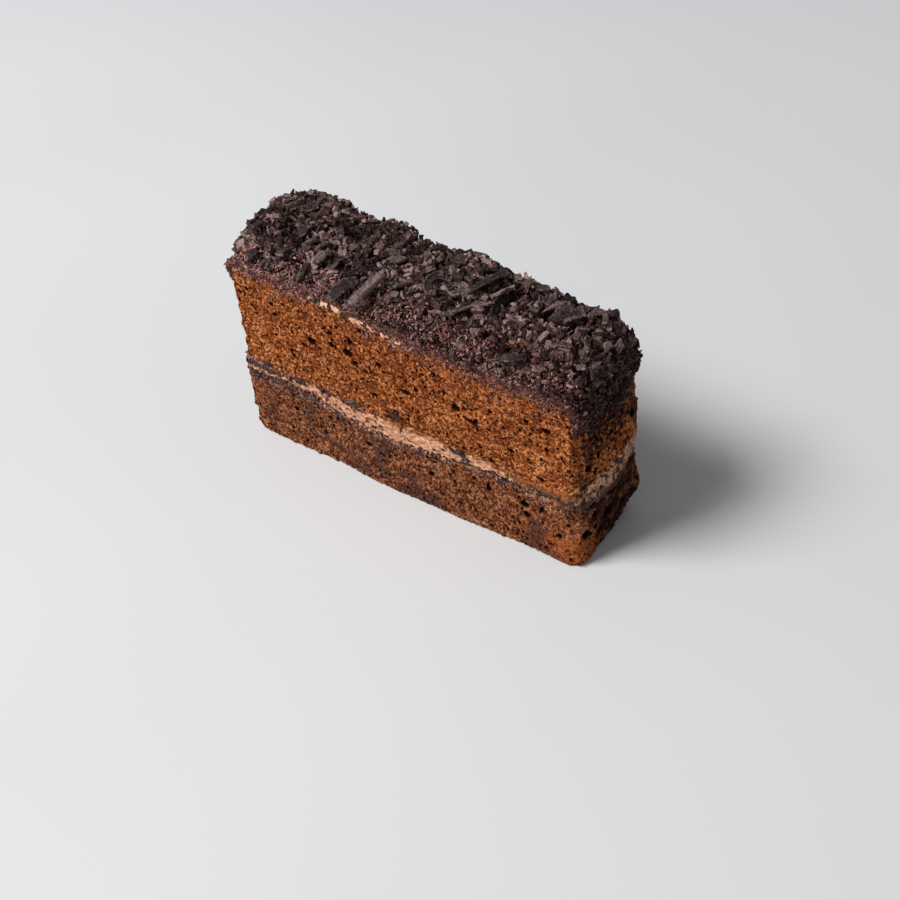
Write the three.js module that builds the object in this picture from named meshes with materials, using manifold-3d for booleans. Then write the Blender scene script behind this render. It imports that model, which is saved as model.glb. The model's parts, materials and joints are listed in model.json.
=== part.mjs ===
// A slice of chocolate layer cake, as a cake shop serves it: a dark lower sponge, a band of chocolate
// cream with flakes of dark chocolate in it, a lighter upper sponge, a thin coat of the same cream, and
// a heaped topping of chocolate crumbs, chips and shavings that drapes over both ends.
//
// Millimetres, +Z up. The origin is on the plate at the middle of the slice's base. +X runs along the
// slice to its narrow end, and the flat cut side faces -Y. The other cut side, at +Y, leans outwards.
import * as THREE from "three";
import { mergeVertices } from "three/addons/utils/BufferGeometryUtils.js";
import Module from "manifold-3d";

const wasm = await Module();
wasm.setup();

// ---- Driving dimensions -------------------------------------------------------------------------
const SLICE_LENGTH = 106; // along X, at the sponge
const WIDE_WIDTH = 35.4; // of the -X end, at the upper sponge
const NARROW_WIDTH = 29.7; // of the +X end, at the upper sponge
const BASE_NARROWING = 3.8; // how much narrower the slice stands on its base
const CUT_SIDE_Y = -17.2; // the flat cut side
const LAYER_GAP = 0.3; // clearance between two layers that touch
const COAT_THICKNESS = 1; // thin cream under the topping
const CORNER_RADIUS = 1.6; // the four upright corners
const END_BULGE = 0.9; // how far the middle of each end stands out
const WIDE_END_REACH = 0.5; // how far the whole wide end stands out beyond the even length
const FOOT_FLARE = 1.4; // how far the flat cut side spreads at its foot, from the middle to the narrow end
const FOOT_TUCK = 1.6; // how far the foot of the narrow end is drawn in below its lump
const FAR_LUMP = 1.3; // how far the lower sponge's far corner stands out at the narrow end
const HALF = SLICE_LENGTH / 2;
const ROWS = [22, 5]; // faces of every layer along and across, alike so that the clearances stay even
const TOPPING_ROWS = ROWS.map((count) => 2 * count); // finer, for the lumps on top of it

// Heights along the slice, each [x, z]. Every layer dips where the slice was pressed by the knife.
// The cream is thickest at the narrow end, where it is dragged over both sponges.
const FILLING_BASE = line([
  [-HALF, 19], [-42, 19.4], [-22, 16.9], [0, 15.6], [18, 17.4], [40, 17.2], [49, 17.8], [HALF, 16.8],
]);
const FILLING_TOP = line([
  [-HALF, 24.6], [-30, 24.6], [-14, 22.9], [4, 22.8], [22, 22], [40, 21], [49, 22.4], [HALF, 25.2],
]);
// The upper sponge's top, from the lip of one rounded end to the lip of the other.
const CROWN = line([
  [-51, 50.8], [-50.2, 53.6], [-46.5, 54.9], [-22, 53.2], [-3, 50.4],
  [20, 49.6], [34, 48.6], [43, 48.8], [48.4, 49], [50.4, 47], [51, 42],
]);
// The topping's depth along the same line, each [share of the line, depth], away from its two lips.
const TOPPING_DEPTH = line([
  [0, 7], [0.12, 5.2], [0.25, 4.8], [0.4, 6.6], [0.52, 8.8], [0.66, 8.6], [0.78, 7.6], [0.9, 8.8], [1, 9.4],
]);
const WIDE_LIP = { depth: 1.6, from: 0.06, to: 0 }; // where it thins down over the -X end
const NARROW_LIP = { depth: 1, from: 0.9, to: 0.95 }; // the same over the +X end
const BARE_CORNER = 0.75; // how much of it is missing at the wide end's front corner
const FRONT_SHARE = 0.4; // its depth at the flat cut side, as a share of the middle's
const BACK_SHARE = 0.25; // the same at the leaning cut side
const FRONT_SHOULDER = 0.4; // how far in from the flat cut side it reaches full depth, half-width 1
const BACK_SHOULDER = 0.75; // the same from the leaning cut side

const COLOURS = {
  darkSponge: 0x6b3f29,
  paleSponge: 0x86501f,
  cream: 0xc68c6b,
  chocolate: 0x35282a,
};

// ---- Small tools --------------------------------------------------------------------------------
/** A smooth plane curve through [x, z] points. */
function line(points) {
  return new THREE.SplineCurve(points.map(([x, z]) => new THREE.Vector2(x, z)));
}

/** The height of a curve at a share s of its run, read by its own parameter. */
function at(curve, s) {
  return curve.getPoint(Math.min(1, Math.max(0, s)));
}

/** The curve's height at the place x, for a curve whose points run evenly enough to search. */
function heightAt(curve, x) {
  let low = 0;
  let high = 1;
  for (let i = 0; i < 24; i++) {
    const middle = (low + high) / 2;
    if (at(curve, middle).x < x) low = middle;
    else high = middle;
  }
  return at(curve, low).y;
}

const mix = THREE.MathUtils.lerp;
const smooth = THREE.MathUtils.smoothstep;

/** A seeded source of numbers from 0 to 1, so that every build is the same. */
function seeded(seed) {
  let state = seed;
  return () => {
    state = (state * 1664525 + 1013904223) % 4294967296;
    return state / 4294967296;
  };
}

/** Gentle unevenness between about -1 and 1, from two crossed waves of about the given length. */
function waves(a, b, length) {
  const k = (2 * Math.PI) / length;
  const crossed = Math.cos(k * 0.71 * a - k * 1.13 * b + 2);
  return 0.6 * Math.sin(k * a + 1.7 * Math.sin(k * 0.53 * b)) + 0.4 * crossed;
}

/** A closed geometry as a solid that can be joined and cut. */
function solid(geometry) {
  const bare = geometry.clone();
  bare.deleteAttribute("normal");
  bare.deleteAttribute("uv");
  const merged = mergeVertices(bare, 1e-4);
  const vertProperties = new Float32Array(merged.attributes.position.array);
  const triVerts = new Uint32Array(merged.index.array);
  return new wasm.Manifold(new wasm.Mesh({ numProp: 3, vertProperties, triVerts }));
}

/** A solid back as a geometry. */
function geometryOf(made) {
  const { vertProperties, triVerts } = made.getMesh();
  const geometry = new THREE.BufferGeometry();
  geometry.setAttribute("position", new THREE.BufferAttribute(vertProperties, 3));
  geometry.setIndex(new THREE.BufferAttribute(triVerts, 1));
  return geometry;
}

/** The largest of a solid's separate bodies, which drops scraps that a cut has left loose. */
function largestBody(made) {
  return made.decompose().reduce((best, body) => (body.volume() > best.volume() ? body : best));
}

/** A named sub-part with its own finish. */
function part(name, geometry, colour, roughness) {
  const shaded = geometry.toNonIndexed();
  shaded.computeVertexNormals();
  const material = new THREE.MeshStandardMaterial({ color: colour, roughness, metalness: 0 });
  const mesh = new THREE.Mesh(shaded, material);
  mesh.name = name;
  return mesh;
}

// ---- The slice's form ---------------------------------------------------------------------------
/** The slice's width at a place along it and a height. */
function widthAt(x, z) {
  const along = (x + HALF) / SLICE_LENGTH;
  return mix(WIDE_WIDTH, NARROW_WIDTH, along) - BASE_NARROWING * (1 - smooth(z, 4, 34));
}

/** Moves a point of the plain slice to its uneven place: bulged ends, leaning and wavy sides. */
function uneven(x, z, across) {
  const towardsEnd = smooth(Math.abs(x), HALF - 14, HALF);
  const bulge = (END_BULGE + 0.5 * waves(across * 16, z, 17)) * (1 - 0.9 * across * across);
  const flare = FOOT_FLARE * smooth(x, -36, -2) * (1 - smooth(z, 0, 17));
  const front = CUT_SIDE_Y + 0.35 * waves(x, z, 31) - flare;
  const back = CUT_SIDE_Y + widthAt(x, z) + 0.8 * waves(x + 20, z, 26);
  const y = mix(front, back, (across + 1) / 2);
  // The lower sponge's far corner at the narrow end stands out in a lump, above an undercut.
  const atNarrowEnd = smooth(x, HALF - 9, HALF);
  const lump = FAR_LUMP * atNarrowEnd * smooth(across, 0, 1) * Math.exp(-(((z - 8.5) / 4) ** 2));
  const reach = WIDE_END_REACH * smooth(-x, HALF - 13, HALF);
  const tuck = FOOT_TUCK * atNarrowEnd * smooth(across, -1.2, 0.4) * (1 - smooth(z, 0, 9));
  return new THREE.Vector3(x + Math.sign(x) * towardsEnd * bulge + lump - tuck - reach, y, z);
}

/** Draws an upright corner in, where both the place along and the place across reach their ends. */
function roundedCorner(point, along, across) {
  const nearCorner = smooth(Math.abs(along), 0.93, 1) * smooth(Math.abs(across), 0.8, 1);
  const inwards = CORNER_RADIUS * (1 - Math.SQRT1_2) * nearCorner;
  point.x -= Math.sign(along) * inwards;
  point.y -= Math.sign(across) * inwards;
  return point;
}

/**
 * A layer between two curves: a box whose corners are moved to the curves. low and high give the
 * point on the lower and upper curve at a share s along and a place across, from -1 to 1.
 */
function layer(low, high, rowsUp, sideGrowth = 0, rows = ROWS) {
  const box = new THREE.BoxGeometry(2, 2, 2, ...rows, rowsUp);
  const position = box.attributes.position;
  for (let i = 0; i < position.count; i++) {
    const u = position.getX(i);
    const v = position.getY(i);
    const along = u * (1.3 - 0.3 * u * u); // closer rows near the ends and the cut sides
    const across = v * (1.3 - 0.3 * v * v);
    const s = (along + 1) / 2;
    const w = (position.getZ(i) + 1) / 2;
    const section = low(s, across).lerp(high(s, across), w);
    const point = roundedCorner(uneven(section.x, section.y, across), along, across);
    point.x += Math.sign(along) * sideGrowth * smooth(Math.abs(along), 0.9, 1);
    point.y += across * sideGrowth;
    position.setXYZ(i, point.x, point.y, point.z);
  }
  return box;
}

/** A flat-ended curve from one end of the slice to the other, at the height that curve gives, plus lift. */
function level(curve, lift) {
  return (s) => {
    const x = mix(-HALF, HALF, s);
    return new THREE.Vector2(x, heightAt(curve, x) + lift);
  };
}

/** The crown, moved outwards square to itself by a depth that may vary along and across. */
function aboveCrown(depth) {
  return (s, across) => {
    const t = CROWN.getUtoTmapping(s);
    const tangent = CROWN.getTangent(t);
    return CROWN.getPoint(t).add(new THREE.Vector2(-tangent.y, tangent.x).multiplyScalar(depth(s, across)));
  };
}

/** How deep the topping lies halfway across, at a share s along the crown. */
function depthAlong(s) {
  const full = heightAt(TOPPING_DEPTH, s);
  const overWideEnd = mix(full, WIDE_LIP.depth, 1 - smooth(s, WIDE_LIP.to, WIDE_LIP.from));
  return mix(overWideEnd, NARROW_LIP.depth, smooth(s, NARROW_LIP.from, NARROW_LIP.to));
}

/** How deep the topping lies at a share s along and a place across. */
function toppingDepth(s, across) {
  const middle = depthAlong(s);
  const rise = (inwards) => Math.sqrt(1 - (1 - Math.min(1, inwards)) ** 2);
  const front = mix(FRONT_SHARE, 1, rise((1 + across) / FRONT_SHOULDER));
  const back = mix(BACK_SHARE, 1, rise((1 - across) / BACK_SHOULDER));
  const corner = 1 - BARE_CORNER * smooth(-across, 0.2, 1) * (1 - smooth(s, 0.02, 0.1));
  const edge = front * back * corner;
  const [x, y] = [s * SLICE_LENGTH, across * 17];
  const lumps = 0.55 * waves(x, y, 15) + 0.45 * waves(y + 0.4 * x, x, 7);
  return middle * edge + lumps * smooth(middle * edge, 1.5, 5);
}

const coatBase = aboveCrown(() => LAYER_GAP);
const coatTop = aboveCrown(() => LAYER_GAP + COAT_THICKNESS);
const TOPPING_START = 2 * LAYER_GAP + COAT_THICKNESS;
const toppingBase = aboveCrown(() => TOPPING_START);
const toppingTop = aboveCrown((s, across) => TOPPING_START + toppingDepth(s, across));

// ---- Lower and upper sponge ---------------------------------------------------------------------
/** Air holes that the knife opened in a cut side, each a small dimple. */
function airHoles(count, zLow, zHigh, seed) {
  const random = seeded(seed);
  const holes = [];
  for (let i = 0; i < count; i++) {
    const side = i % 2 ? 1 : -1;
    const x = mix(-HALF + 8, HALF - 8, (i + 0.2 + 0.6 * random()) / count);
    const z = mix(zLow, zHigh, random());
    const radius = mix(1, 1.7, random());
    const centre = uneven(x, z, side);
    const hole = new THREE.IcosahedronGeometry(radius, 0);
    hole.rotateX(random() * 3).rotateZ(random() * 3).scale(1.2, 0.8, 0.8);
    hole.translate(centre.x, centre.y + side * 0.15 * radius, centre.z);
    holes.push(solid(hole));
  }
  return wasm.Manifold.union(holes);
}

const lowerSponge = solid(
  layer((s) => new THREE.Vector2(mix(-HALF, HALF, s), 0), level(FILLING_BASE, -LAYER_GAP), 4),
).subtract(airHoles(6, 5, 12, 5));

const upperSponge = solid(layer(level(FILLING_TOP, LAYER_GAP), aboveCrown(() => 0), 6)).subtract(
  airHoles(14, 28, 44, 23),
);

// ---- Cream filling with its chocolate flakes ----------------------------------------------------
// Flakes that stand out of the cut sides: [x, cut side (-1 flat, 1 leaning), length, tilt in degrees].
const FILLING_FLAKES = [
  [-43, -1, 6.5, -6], [-27.5, -1, 4, 20], [-17, -1, 5.5, 8], [-7, -1, 5, -14], [17.5, -1, 7, 24],
  [31, -1, 3.6, -8], [-36, 1, 5, 10], [-19, 1, 6, -12], [3, 1, 4.6, 16], [21, 1, 6.4, -8], [38, 1, 4.4, 5],
];
const FLAKE_DEPTH = 1.6; // of a flake, up and down
const FLAKE_PROUD = 0.7; // how far it stands out of the cut side

/** One flake of dark chocolate, lying along a cut side of the filling. */
function fillingFlake([x, side, length, tilt]) {
  const height = mix(heightAt(FILLING_BASE, x), heightAt(FILLING_TOP, x), side < 0 ? 0.78 : 0.4);
  const place = uneven(x, height, side);
  const flake = new THREE.CylinderGeometry(0.5 * length, 0.42 * length, 2.4, 6, 1);
  flake.scale(1, 1, FLAKE_DEPTH / length).rotateY(THREE.MathUtils.degToRad(tilt));
  flake.translate(place.x, place.y + side * (FLAKE_PROUD - 1.2), place.z);
  return solid(flake);
}

/** The filling's own band, standing out sideways, to keep flakes clear of the sponges. */
const fillingLow = level(FILLING_BASE, 0);
const fillingHigh = level(FILLING_TOP, 0);
const fillingBand = solid(layer(fillingLow, fillingHigh, 1, 3));
const fillingCream = solid(layer(fillingLow, fillingHigh, 2));
const fillingFlakes = wasm.Manifold.union(FILLING_FLAKES.map(fillingFlake)).intersect(fillingBand);
const creamFilling = largestBody(fillingCream.add(fillingFlakes));

// ---- Topping ------------------------------------------------------------------------------------
// The long shavings that lie on top: [x, y, heading in degrees, length, width, bend in degrees].
const SHAVINGS = [
  [-16.3, -14.2, 66, 8.6, 3, 40], [-9, -12.4, 70, 12, 2.6, 8], [-1.8, -9.4, 30, 6, 5, 10],
  [6.1, -4.6, 100, 11, 2.6, 160], [18.2, -7.6, 45, 10.8, 2.8, 75], [23, -4, 96, 9, 2.8, 80],
  [15.6, 1.6, 66, 11, 2.6, 15], [21.8, 0.4, 40, 5, 4.4, 10], [33.4, 2.6, 48, 7.6, 5, 30],
  [41, -0.6, 58, 8, 4.6, 20], [32.8, -13.6, 20, 7, 3.8, 15], [45.4, 5.6, 20, 7, 2.4, 120],
  [18.6, 9, 30, 6, 4.4, 20], [-26.6, -9, 95, 5.4, 3.6, 10], [-42.4, 6.4, 40, 5, 4, 15],
  [-24, 11, 30, 6.4, 2.8, 40],
];
const SHAVING_THICKNESS = 1.1;
const CHIP_COUNT = 38;
const CURL_COUNT = 26;
const CRUMB_COUNT = 60;

/** A shaving: a tapered strip, bent along its length into an arc. */
function shaving(length, width, thickness, bendDegrees, segments) {
  const strip = new THREE.BoxGeometry(length, width, thickness, segments, 1, 1);
  const bend = THREE.MathUtils.degToRad(bendDegrees);
  const radius = length / Math.max(bend, 0.05);
  const position = strip.attributes.position;
  for (let i = 0; i < position.count; i++) {
    const t = position.getX(i) / (length / 2);
    const angle = (t * length) / 2 / radius;
    const reach = radius + position.getZ(i);
    const taper = 1 - 0.45 * t * t;
    position.setXYZ(i, reach * Math.sin(angle), position.getY(i) * taper, reach * Math.cos(angle) - radius);
  }
  return strip;
}

/** A chip: a thin five-sided plate with a broken outline. */
function chip(size, random) {
  const plate = new THREE.CylinderGeometry(size / 2, size * 0.42, 0.28 * size, 5, 1);
  plate.rotateX(Math.PI / 2).scale(1, 0.6 + 0.3 * random(), 1).rotateZ(random() * 6);
  return plate;
}

/** A crumb: a squat lump with twenty faces. */
function crumb(size, random) {
  const lump = new THREE.IcosahedronGeometry(size / 2, 0);
  lump.rotateX(random() * 3).scale(1, 0.75 + 0.3 * random(), 0.7 + 0.3 * random());
  return lump.rotateZ(random() * 6);
}

/** Where a piece lies on the topping: the point on its surface, and a frame square to it. */
function onTopping(s, across) {
  const step = 0.01;
  const surface = (a, b) => {
    const section = toppingTop(a, b);
    return uneven(section.x, section.y, b);
  };
  const point = surface(s, across);
  const before = surface(Math.max(0, s - step), across);
  const along = surface(Math.min(1, s + step), across).sub(before).normalize();
  const nearer = surface(s, Math.max(-1, across - 0.1));
  const over = surface(s, Math.min(1, across + 0.1)).sub(nearer).normalize();
  const up = along.clone().cross(over).normalize();
  return new THREE.Matrix4().makeBasis(along, up.clone().cross(along), up).setPosition(point);
}

/** A piece laid on the topping, turned by heading, tipped a little and sunk by part of its height. */
function lay(geometry, s, across, heading, tip, lift) {
  const turn = new THREE.Matrix4().makeRotationZ(heading);
  const tilt = new THREE.Matrix4().makeRotationY(tip);
  const raise = new THREE.Matrix4().makeTranslation(0, 0, lift);
  geometry.applyMatrix4(onTopping(s, across).multiply(raise).multiply(turn).multiply(tilt));
  return solid(geometry);
}

/** The share of the crown at which it passes the place x. */
function shareAt(x) {
  let low = 0;
  let high = 1;
  for (let i = 0; i < 24; i++) {
    const middle = (low + high) / 2;
    if (CROWN.getPointAt(middle).x < x) low = middle;
    else high = middle;
  }
  return low;
}

/** The place across, from -1 to 1, of the distance y at the place x. */
function acrossAt(x, y) {
  return (2 * (y - CUT_SIDE_Y)) / widthAt(x, 50) - 1;
}

/** Evenly spread places on the topping, each nudged from the middle of its own cell. */
function spread(count, seed, place) {
  const random = seeded(seed);
  const golden = 0.6180339887;
  return Array.from({ length: count }, (_, i) => {
    const s = mix(0.05, 0.955, (i + 0.5 + 0.6 * (random() - 0.5)) / count);
    const across = mix(-0.92, 0.92, (i * golden + 0.12 * random()) % 1);
    return place(s, across, random);
  });
}

/** Near the lips the topping is thin, so the pieces there are smaller. */
const sizeShare = (s) => smooth(depthAlong(s), 1, 5);

const shavings = SHAVINGS.map(([x, y, heading, length, width, bend], i) =>
  lay(
    shaving(length, width, SHAVING_THICKNESS, bend, 4),
    shareAt(x),
    acrossAt(x, y),
    THREE.MathUtils.degToRad(heading),
    i % 2 ? 0.16 : -0.12,
    0.75,
  ),
);
const chips = spread(CHIP_COUNT, 11, (s, across, random) => {
  const size = mix(2.6, 4.6, random()) * mix(0.5, 1, sizeShare(s));
  return lay(chip(size, random), s, across, random() * 6, 0.7 * random(), 0.3);
});
const curls = spread(CURL_COUNT, 37, (s, across, random) => {
  const length = mix(3.2, 5.4, random()) * mix(0.5, 1, sizeShare(s));
  return lay(shaving(length, 1.3, 0.9, 60, 2), s, across, random() * 6, 0.5 - random(), 0.35);
});
const crumbs = spread(CRUMB_COUNT, 71, (s, across, random) => {
  const size = mix(1.7, 3.1, random()) * mix(0.7, 1, sizeShare(s));
  return lay(crumb(size, random), s, across, random() * 6, random(), 0.15);
});

// What lies below the topping, standing out all round, is cut from the pieces to keep them clear of it.
const below = solid(layer(aboveCrown(() => -9), toppingBase, 2, 9, TOPPING_ROWS));
const pieces = wasm.Manifold.union([...shavings, ...chips, ...curls, ...crumbs]).subtract(below);
const toppingCore = solid(layer(toppingBase, toppingTop, 2, 0, TOPPING_ROWS));
const topping = largestBody(toppingCore.add(pieces));

// ---- The whole slice ----------------------------------------------------------------------------
const slice = new THREE.Group();
slice.name = "chocolate_cake_slice";
slice.add(part("lower_sponge", geometryOf(lowerSponge), COLOURS.darkSponge, 0.9));
slice.add(part("cream_filling", geometryOf(creamFilling), COLOURS.cream, 0.6));
slice.add(part("upper_sponge", geometryOf(upperSponge), COLOURS.paleSponge, 0.9));
slice.add(part("cream_coat", layer(coatBase, coatTop, 1), COLOURS.cream, 0.6));
slice.add(part("topping", geometryOf(topping), COLOURS.chocolate, 0.7));

export default slice;
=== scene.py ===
"""A slice of chocolate layer cake, dressed for a studio picture.

From the plate up: a dark lower sponge, a band of chocolate cream with flakes of dark chocolate
pressed into it, a lighter upper sponge, a thin coat of the same cream, and a heap of chocolate
crumbs, grated shreds, chips, curls and large shavings laid one by one, that drapes over both ends.

All sizes in the classes are millimetres; meshes are written in metres. The origin is on the plate at
the middle of the slice's base, +X runs along the slice to its narrow end, and the flat cut side
faces -Y.
"""

import json
import logging
import math
from collections.abc import Iterator, Sequence
from contextlib import contextmanager
from dataclasses import dataclass
from enum import Enum
from functools import cached_property, partial
from itertools import product, starmap

import bpy
import numpy as np
from mathutils import Matrix, Vector

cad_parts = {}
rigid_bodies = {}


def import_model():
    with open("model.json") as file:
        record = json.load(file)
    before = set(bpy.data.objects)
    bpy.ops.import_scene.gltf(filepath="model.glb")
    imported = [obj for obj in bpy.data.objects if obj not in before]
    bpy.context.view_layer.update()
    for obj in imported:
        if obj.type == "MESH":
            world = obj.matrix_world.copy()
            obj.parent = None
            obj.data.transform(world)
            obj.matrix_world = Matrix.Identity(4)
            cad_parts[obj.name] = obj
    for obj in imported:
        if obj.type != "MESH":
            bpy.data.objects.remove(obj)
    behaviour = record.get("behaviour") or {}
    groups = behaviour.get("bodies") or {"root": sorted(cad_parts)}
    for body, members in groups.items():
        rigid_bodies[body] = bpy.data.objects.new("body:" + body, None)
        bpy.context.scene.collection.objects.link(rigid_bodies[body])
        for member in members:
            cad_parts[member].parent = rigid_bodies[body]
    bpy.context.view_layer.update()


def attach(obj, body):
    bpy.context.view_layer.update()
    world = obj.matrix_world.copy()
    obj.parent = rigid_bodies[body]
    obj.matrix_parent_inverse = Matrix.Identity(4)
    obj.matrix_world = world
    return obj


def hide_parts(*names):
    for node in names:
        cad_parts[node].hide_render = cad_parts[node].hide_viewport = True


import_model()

log = logging.getLogger("cake")
Array = np.ndarray
Random = np.random.Generator
Thing = bpy.types.Object
Mesh = bpy.types.Mesh
Tree = bpy.types.NodeTree
Node = bpy.types.Node
Socket = bpy.types.NodeSocket
Material = bpy.types.Material
Inputs = dict[str | int, object]
Colour = tuple[float, float, float, float]
MM = 0.001
BODY = "root"
HALF_DEPTH = 17.0  # half of the slice's width, which turns a place across into millimetres
LATTICE_PRIMES = (73856093, 19349663, 83492791)
SEED_PRIME = 26544357
SCRAMBLERS = ((15, 2246822519), (13, 3266489917))
LAST_SHIFT = 16
WHOLE_CODE = 0xFFFFFFFF


# ---- Plain tools --------------------------------------------------------------------------------
def linear(hex_colour: str) -> Colour:
    """Turns an sRGB colour into the linear one that a shader takes."""
    shares = [int(hex_colour[i : i + 2], 16) / 255 for i in (1, 3, 5)]
    red, green, blue = (s / 12.92 if s <= 0.04045 else ((s + 0.055) / 1.055) ** 2.4 for s in shares)
    return red, green, blue, 1.0


def mix(low: Array | float, high: Array | float, share: Array | float) -> Array | float:
    """The value at a share of the way from low to high."""
    return low + (high - low) * share


def smooth(value: Array | float, start: float, end: float) -> Array:
    """A soft step from 0 at start to 1 at end."""
    share = np.clip((np.asarray(value, float) - start) / (end - start), 0, 1)
    return share * share * (3 - 2 * share)


def hashed(cells: Array, seed: int) -> Array:
    """A fixed number from 0 to 1 for each cell of a lattice.

    Args:
        cells: whole numbers, three in each row.
        seed: picks another set of numbers.

    Returns:
        One number for each row.
    """
    code = seed * SEED_PRIME
    for axis, prime in enumerate(LATTICE_PRIMES):
        code = code ^ cells[..., axis] * prime
    code = code & WHOLE_CODE
    for shift, factor in SCRAMBLERS:
        code = ((code ^ (code >> shift)) * factor) & WHOLE_CODE
    return (code ^ (code >> LAST_SHIFT)) / (WHOLE_CODE + 1.0)


def grain(points: Array, size: float | Sequence[float], seed: int) -> Array:
    """Soft unevenness between -1 and 1, with lumps of about the given size.

    Args:
        points: places in millimetres.
        size: lump size in millimetres, one or one for each axis.
        seed: picks another pattern.

    Returns:
        One number for each place.
    """
    scaled = points / np.asarray(size, float)
    base = np.floor(scaled).astype(np.int64)
    part = scaled - base
    part = part * part * (3 - 2 * part)
    total = np.zeros(points.shape[:-1])
    for corner in product((0, 1), repeat=3):
        weight = np.prod(np.where(np.array(corner) == 1, part, 1 - part), axis=-1)
        total += weight * hashed(base + np.array(corner), seed)
    return total * 2 - 1


def bubbles(
    points: Array, cell: float, radii: tuple[float, float], share: float, seed: int
) -> tuple[Array, Array]:
    """The air bubbles that a knife opens, as round hollows spread through the crumb.

    Args:
        points: places on the cut face, in millimetres.
        cell: spacing of the bubbles.
        radii: the smallest and largest radius.
        share: how many of the cells hold a bubble, from 0 to 1.
        seed: picks another pattern.

    Returns:
        How deep each place is sunk, in millimetres, and how far inside a bubble it is, from 0 to 1.
    """
    base = np.floor(points / cell - 0.5).astype(np.int64)
    depth = np.zeros(points.shape[:-1])
    inside = np.zeros(points.shape[:-1])
    for corner in product((0, 1), repeat=3):
        here = base + np.array(corner)
        jitter = np.stack([hashed(here, seed + axis) for axis in (1, 2, 3)], -1)
        centre = (here + 0.2 + 0.6 * jitter) * cell
        radius = mix(radii[0], radii[1], hashed(here, seed + 5) ** 2)
        present = hashed(here, seed + 4) < share
        reach = np.clip(1 - np.linalg.norm(points - centre, axis=-1) / radius, 0, 1) * present
        inside = np.maximum(inside, reach)
        depth = np.maximum(depth, radius * np.sqrt(1 - (1 - reach) ** 2))
    return depth, inside


def deselect_all() -> None:
    """Leaves nothing selected, so that the next operator acts on its own piece alone."""
    for obj in bpy.context.view_layer.objects:
        obj.select_set(False)


def primitive(shape: str, **sizes: object) -> Thing:
    """Adds one of Blender's plain shapes at the origin."""
    deselect_all()
    getattr(bpy.ops.mesh, f"primitive_{shape}_add")(**sizes)
    return bpy.context.object


@contextmanager
def editing(obj: Thing, edges: Array | None = None) -> Iterator[None]:
    """Works on one piece in edit mode, with some edges or all of it selected.

    Args:
        obj: the piece.
        edges: a truth value for each edge, or nothing for the whole piece.

    Yields:
        Nothing; the mode is left again at the end.
    """
    deselect_all()
    bpy.context.view_layer.objects.active = obj
    obj.select_set(True)
    bpy.context.tool_settings.mesh_select_mode = (False, edges is not None, edges is None)
    if edges is not None:
        obj.data.vertices.foreach_set("select", np.zeros(len(obj.data.vertices), bool))
        obj.data.polygons.foreach_set("select", np.zeros(len(obj.data.polygons), bool))
        obj.data.edges.foreach_set("select", edges)
    bpy.ops.object.mode_set(mode="EDIT")
    if edges is None:
        bpy.ops.mesh.select_all(action="SELECT")
    yield
    bpy.ops.object.mode_set(mode="OBJECT")


def cut_along(obj: Thing, axis: int, cuts: int) -> None:
    """Cuts the edges of a block that run along one axis into equal lengths.

    Args:
        obj: the block, one unit long or more.
        axis: 0, 1 or 2.
        cuts: how many cuts each edge gets.
    """
    ends = np.zeros(len(obj.data.edges) * 2, np.int32)
    obj.data.edges.foreach_get("vertices", ends)
    runs = np.ptp(read_points(obj.data)[ends.reshape(-1, 2), axis], axis=1)
    with editing(obj, runs > 0.9):
        bpy.ops.mesh.subdivide(number_cuts=cuts)


def join_up(parts: Sequence[Thing], name: str, angle: float) -> Thing:
    """Joins parts into one piece, smooth but for its sharp edges.

    Args:
        parts: what is joined.
        name: the piece's name.
        angle: an edge sharper than this stays sharp, in degrees.

    Returns:
        The new object.
    """
    deselect_all()
    for part in parts:
        part.select_set(True)
    bpy.context.view_layer.objects.active = parts[0]
    bpy.ops.object.join()
    obj = bpy.context.object
    obj.name = obj.data.name = name
    bpy.ops.object.shade_smooth_by_angle(angle=math.radians(angle))
    return obj


def read_points(mesh: Mesh) -> Array:
    """The places of a mesh's vertices, one row each, as they are stored."""
    flat = np.zeros(len(mesh.vertices) * 3)
    mesh.vertices.foreach_get("co", flat)
    return flat.reshape(-1, 3)


def write_points(mesh: Mesh, points: Array) -> None:
    """Puts the vertices of a mesh at the given places, which are in metres."""
    mesh.vertices.foreach_set("co", np.ascontiguousarray(points, np.float32).ravel())
    mesh.update()


def note(mesh: Mesh, name: str, values: Array) -> None:
    """Stores one number for each vertex, under a name that a finish asks for."""
    layer = mesh.attributes.new(name, "FLOAT", "POINT")
    layer.data.foreach_set("value", np.ascontiguousarray(values, np.float32).ravel())


def unit(vectors: Array) -> Array:
    """Directions of length 1 along the given vectors, one row each."""
    return vectors / np.maximum(np.linalg.norm(vectors, axis=-1, keepdims=True), 1e-9)


def add_node(tree: Tree, kind: str, inputs: Inputs, **settings: object) -> Node:
    """Adds a node, sets it and joins it up.

    Args:
        tree: the material's nodes.
        kind: the shader node's type, without the words that all types start with.
        inputs: a value, or the output to link, for each named or numbered input.
        **settings: the node's own properties.

    Returns:
        The new node.
    """
    node = tree.nodes.new(f"ShaderNode{kind}")
    for key, value in settings.items():
        setattr(node, key, value)
    for key, value in inputs.items():
        if isinstance(value, Socket):
            tree.links.new(value, node.inputs[key])
        else:
            node.inputs[key].default_value = value
    return node


def set_ramp(node: Node, stops: Sequence[tuple[float, str]]) -> None:
    """Gives a colour ramp its stops.

    Args:
        node: the colour ramp.
        stops: each stop's place, from 0 to 1, and sRGB colour.
    """
    elements = node.color_ramp.elements
    while len(elements) < len(stops):
        elements.new(0.5)
    for element, (place, colour) in zip(elements, stops):
        element.position = place
        element.color = linear(colour)


def per_mm(size: float) -> float:
    """The scale at which a pattern on metres has features of the given size in millimetres."""
    return 1 / (size * MM)


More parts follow.
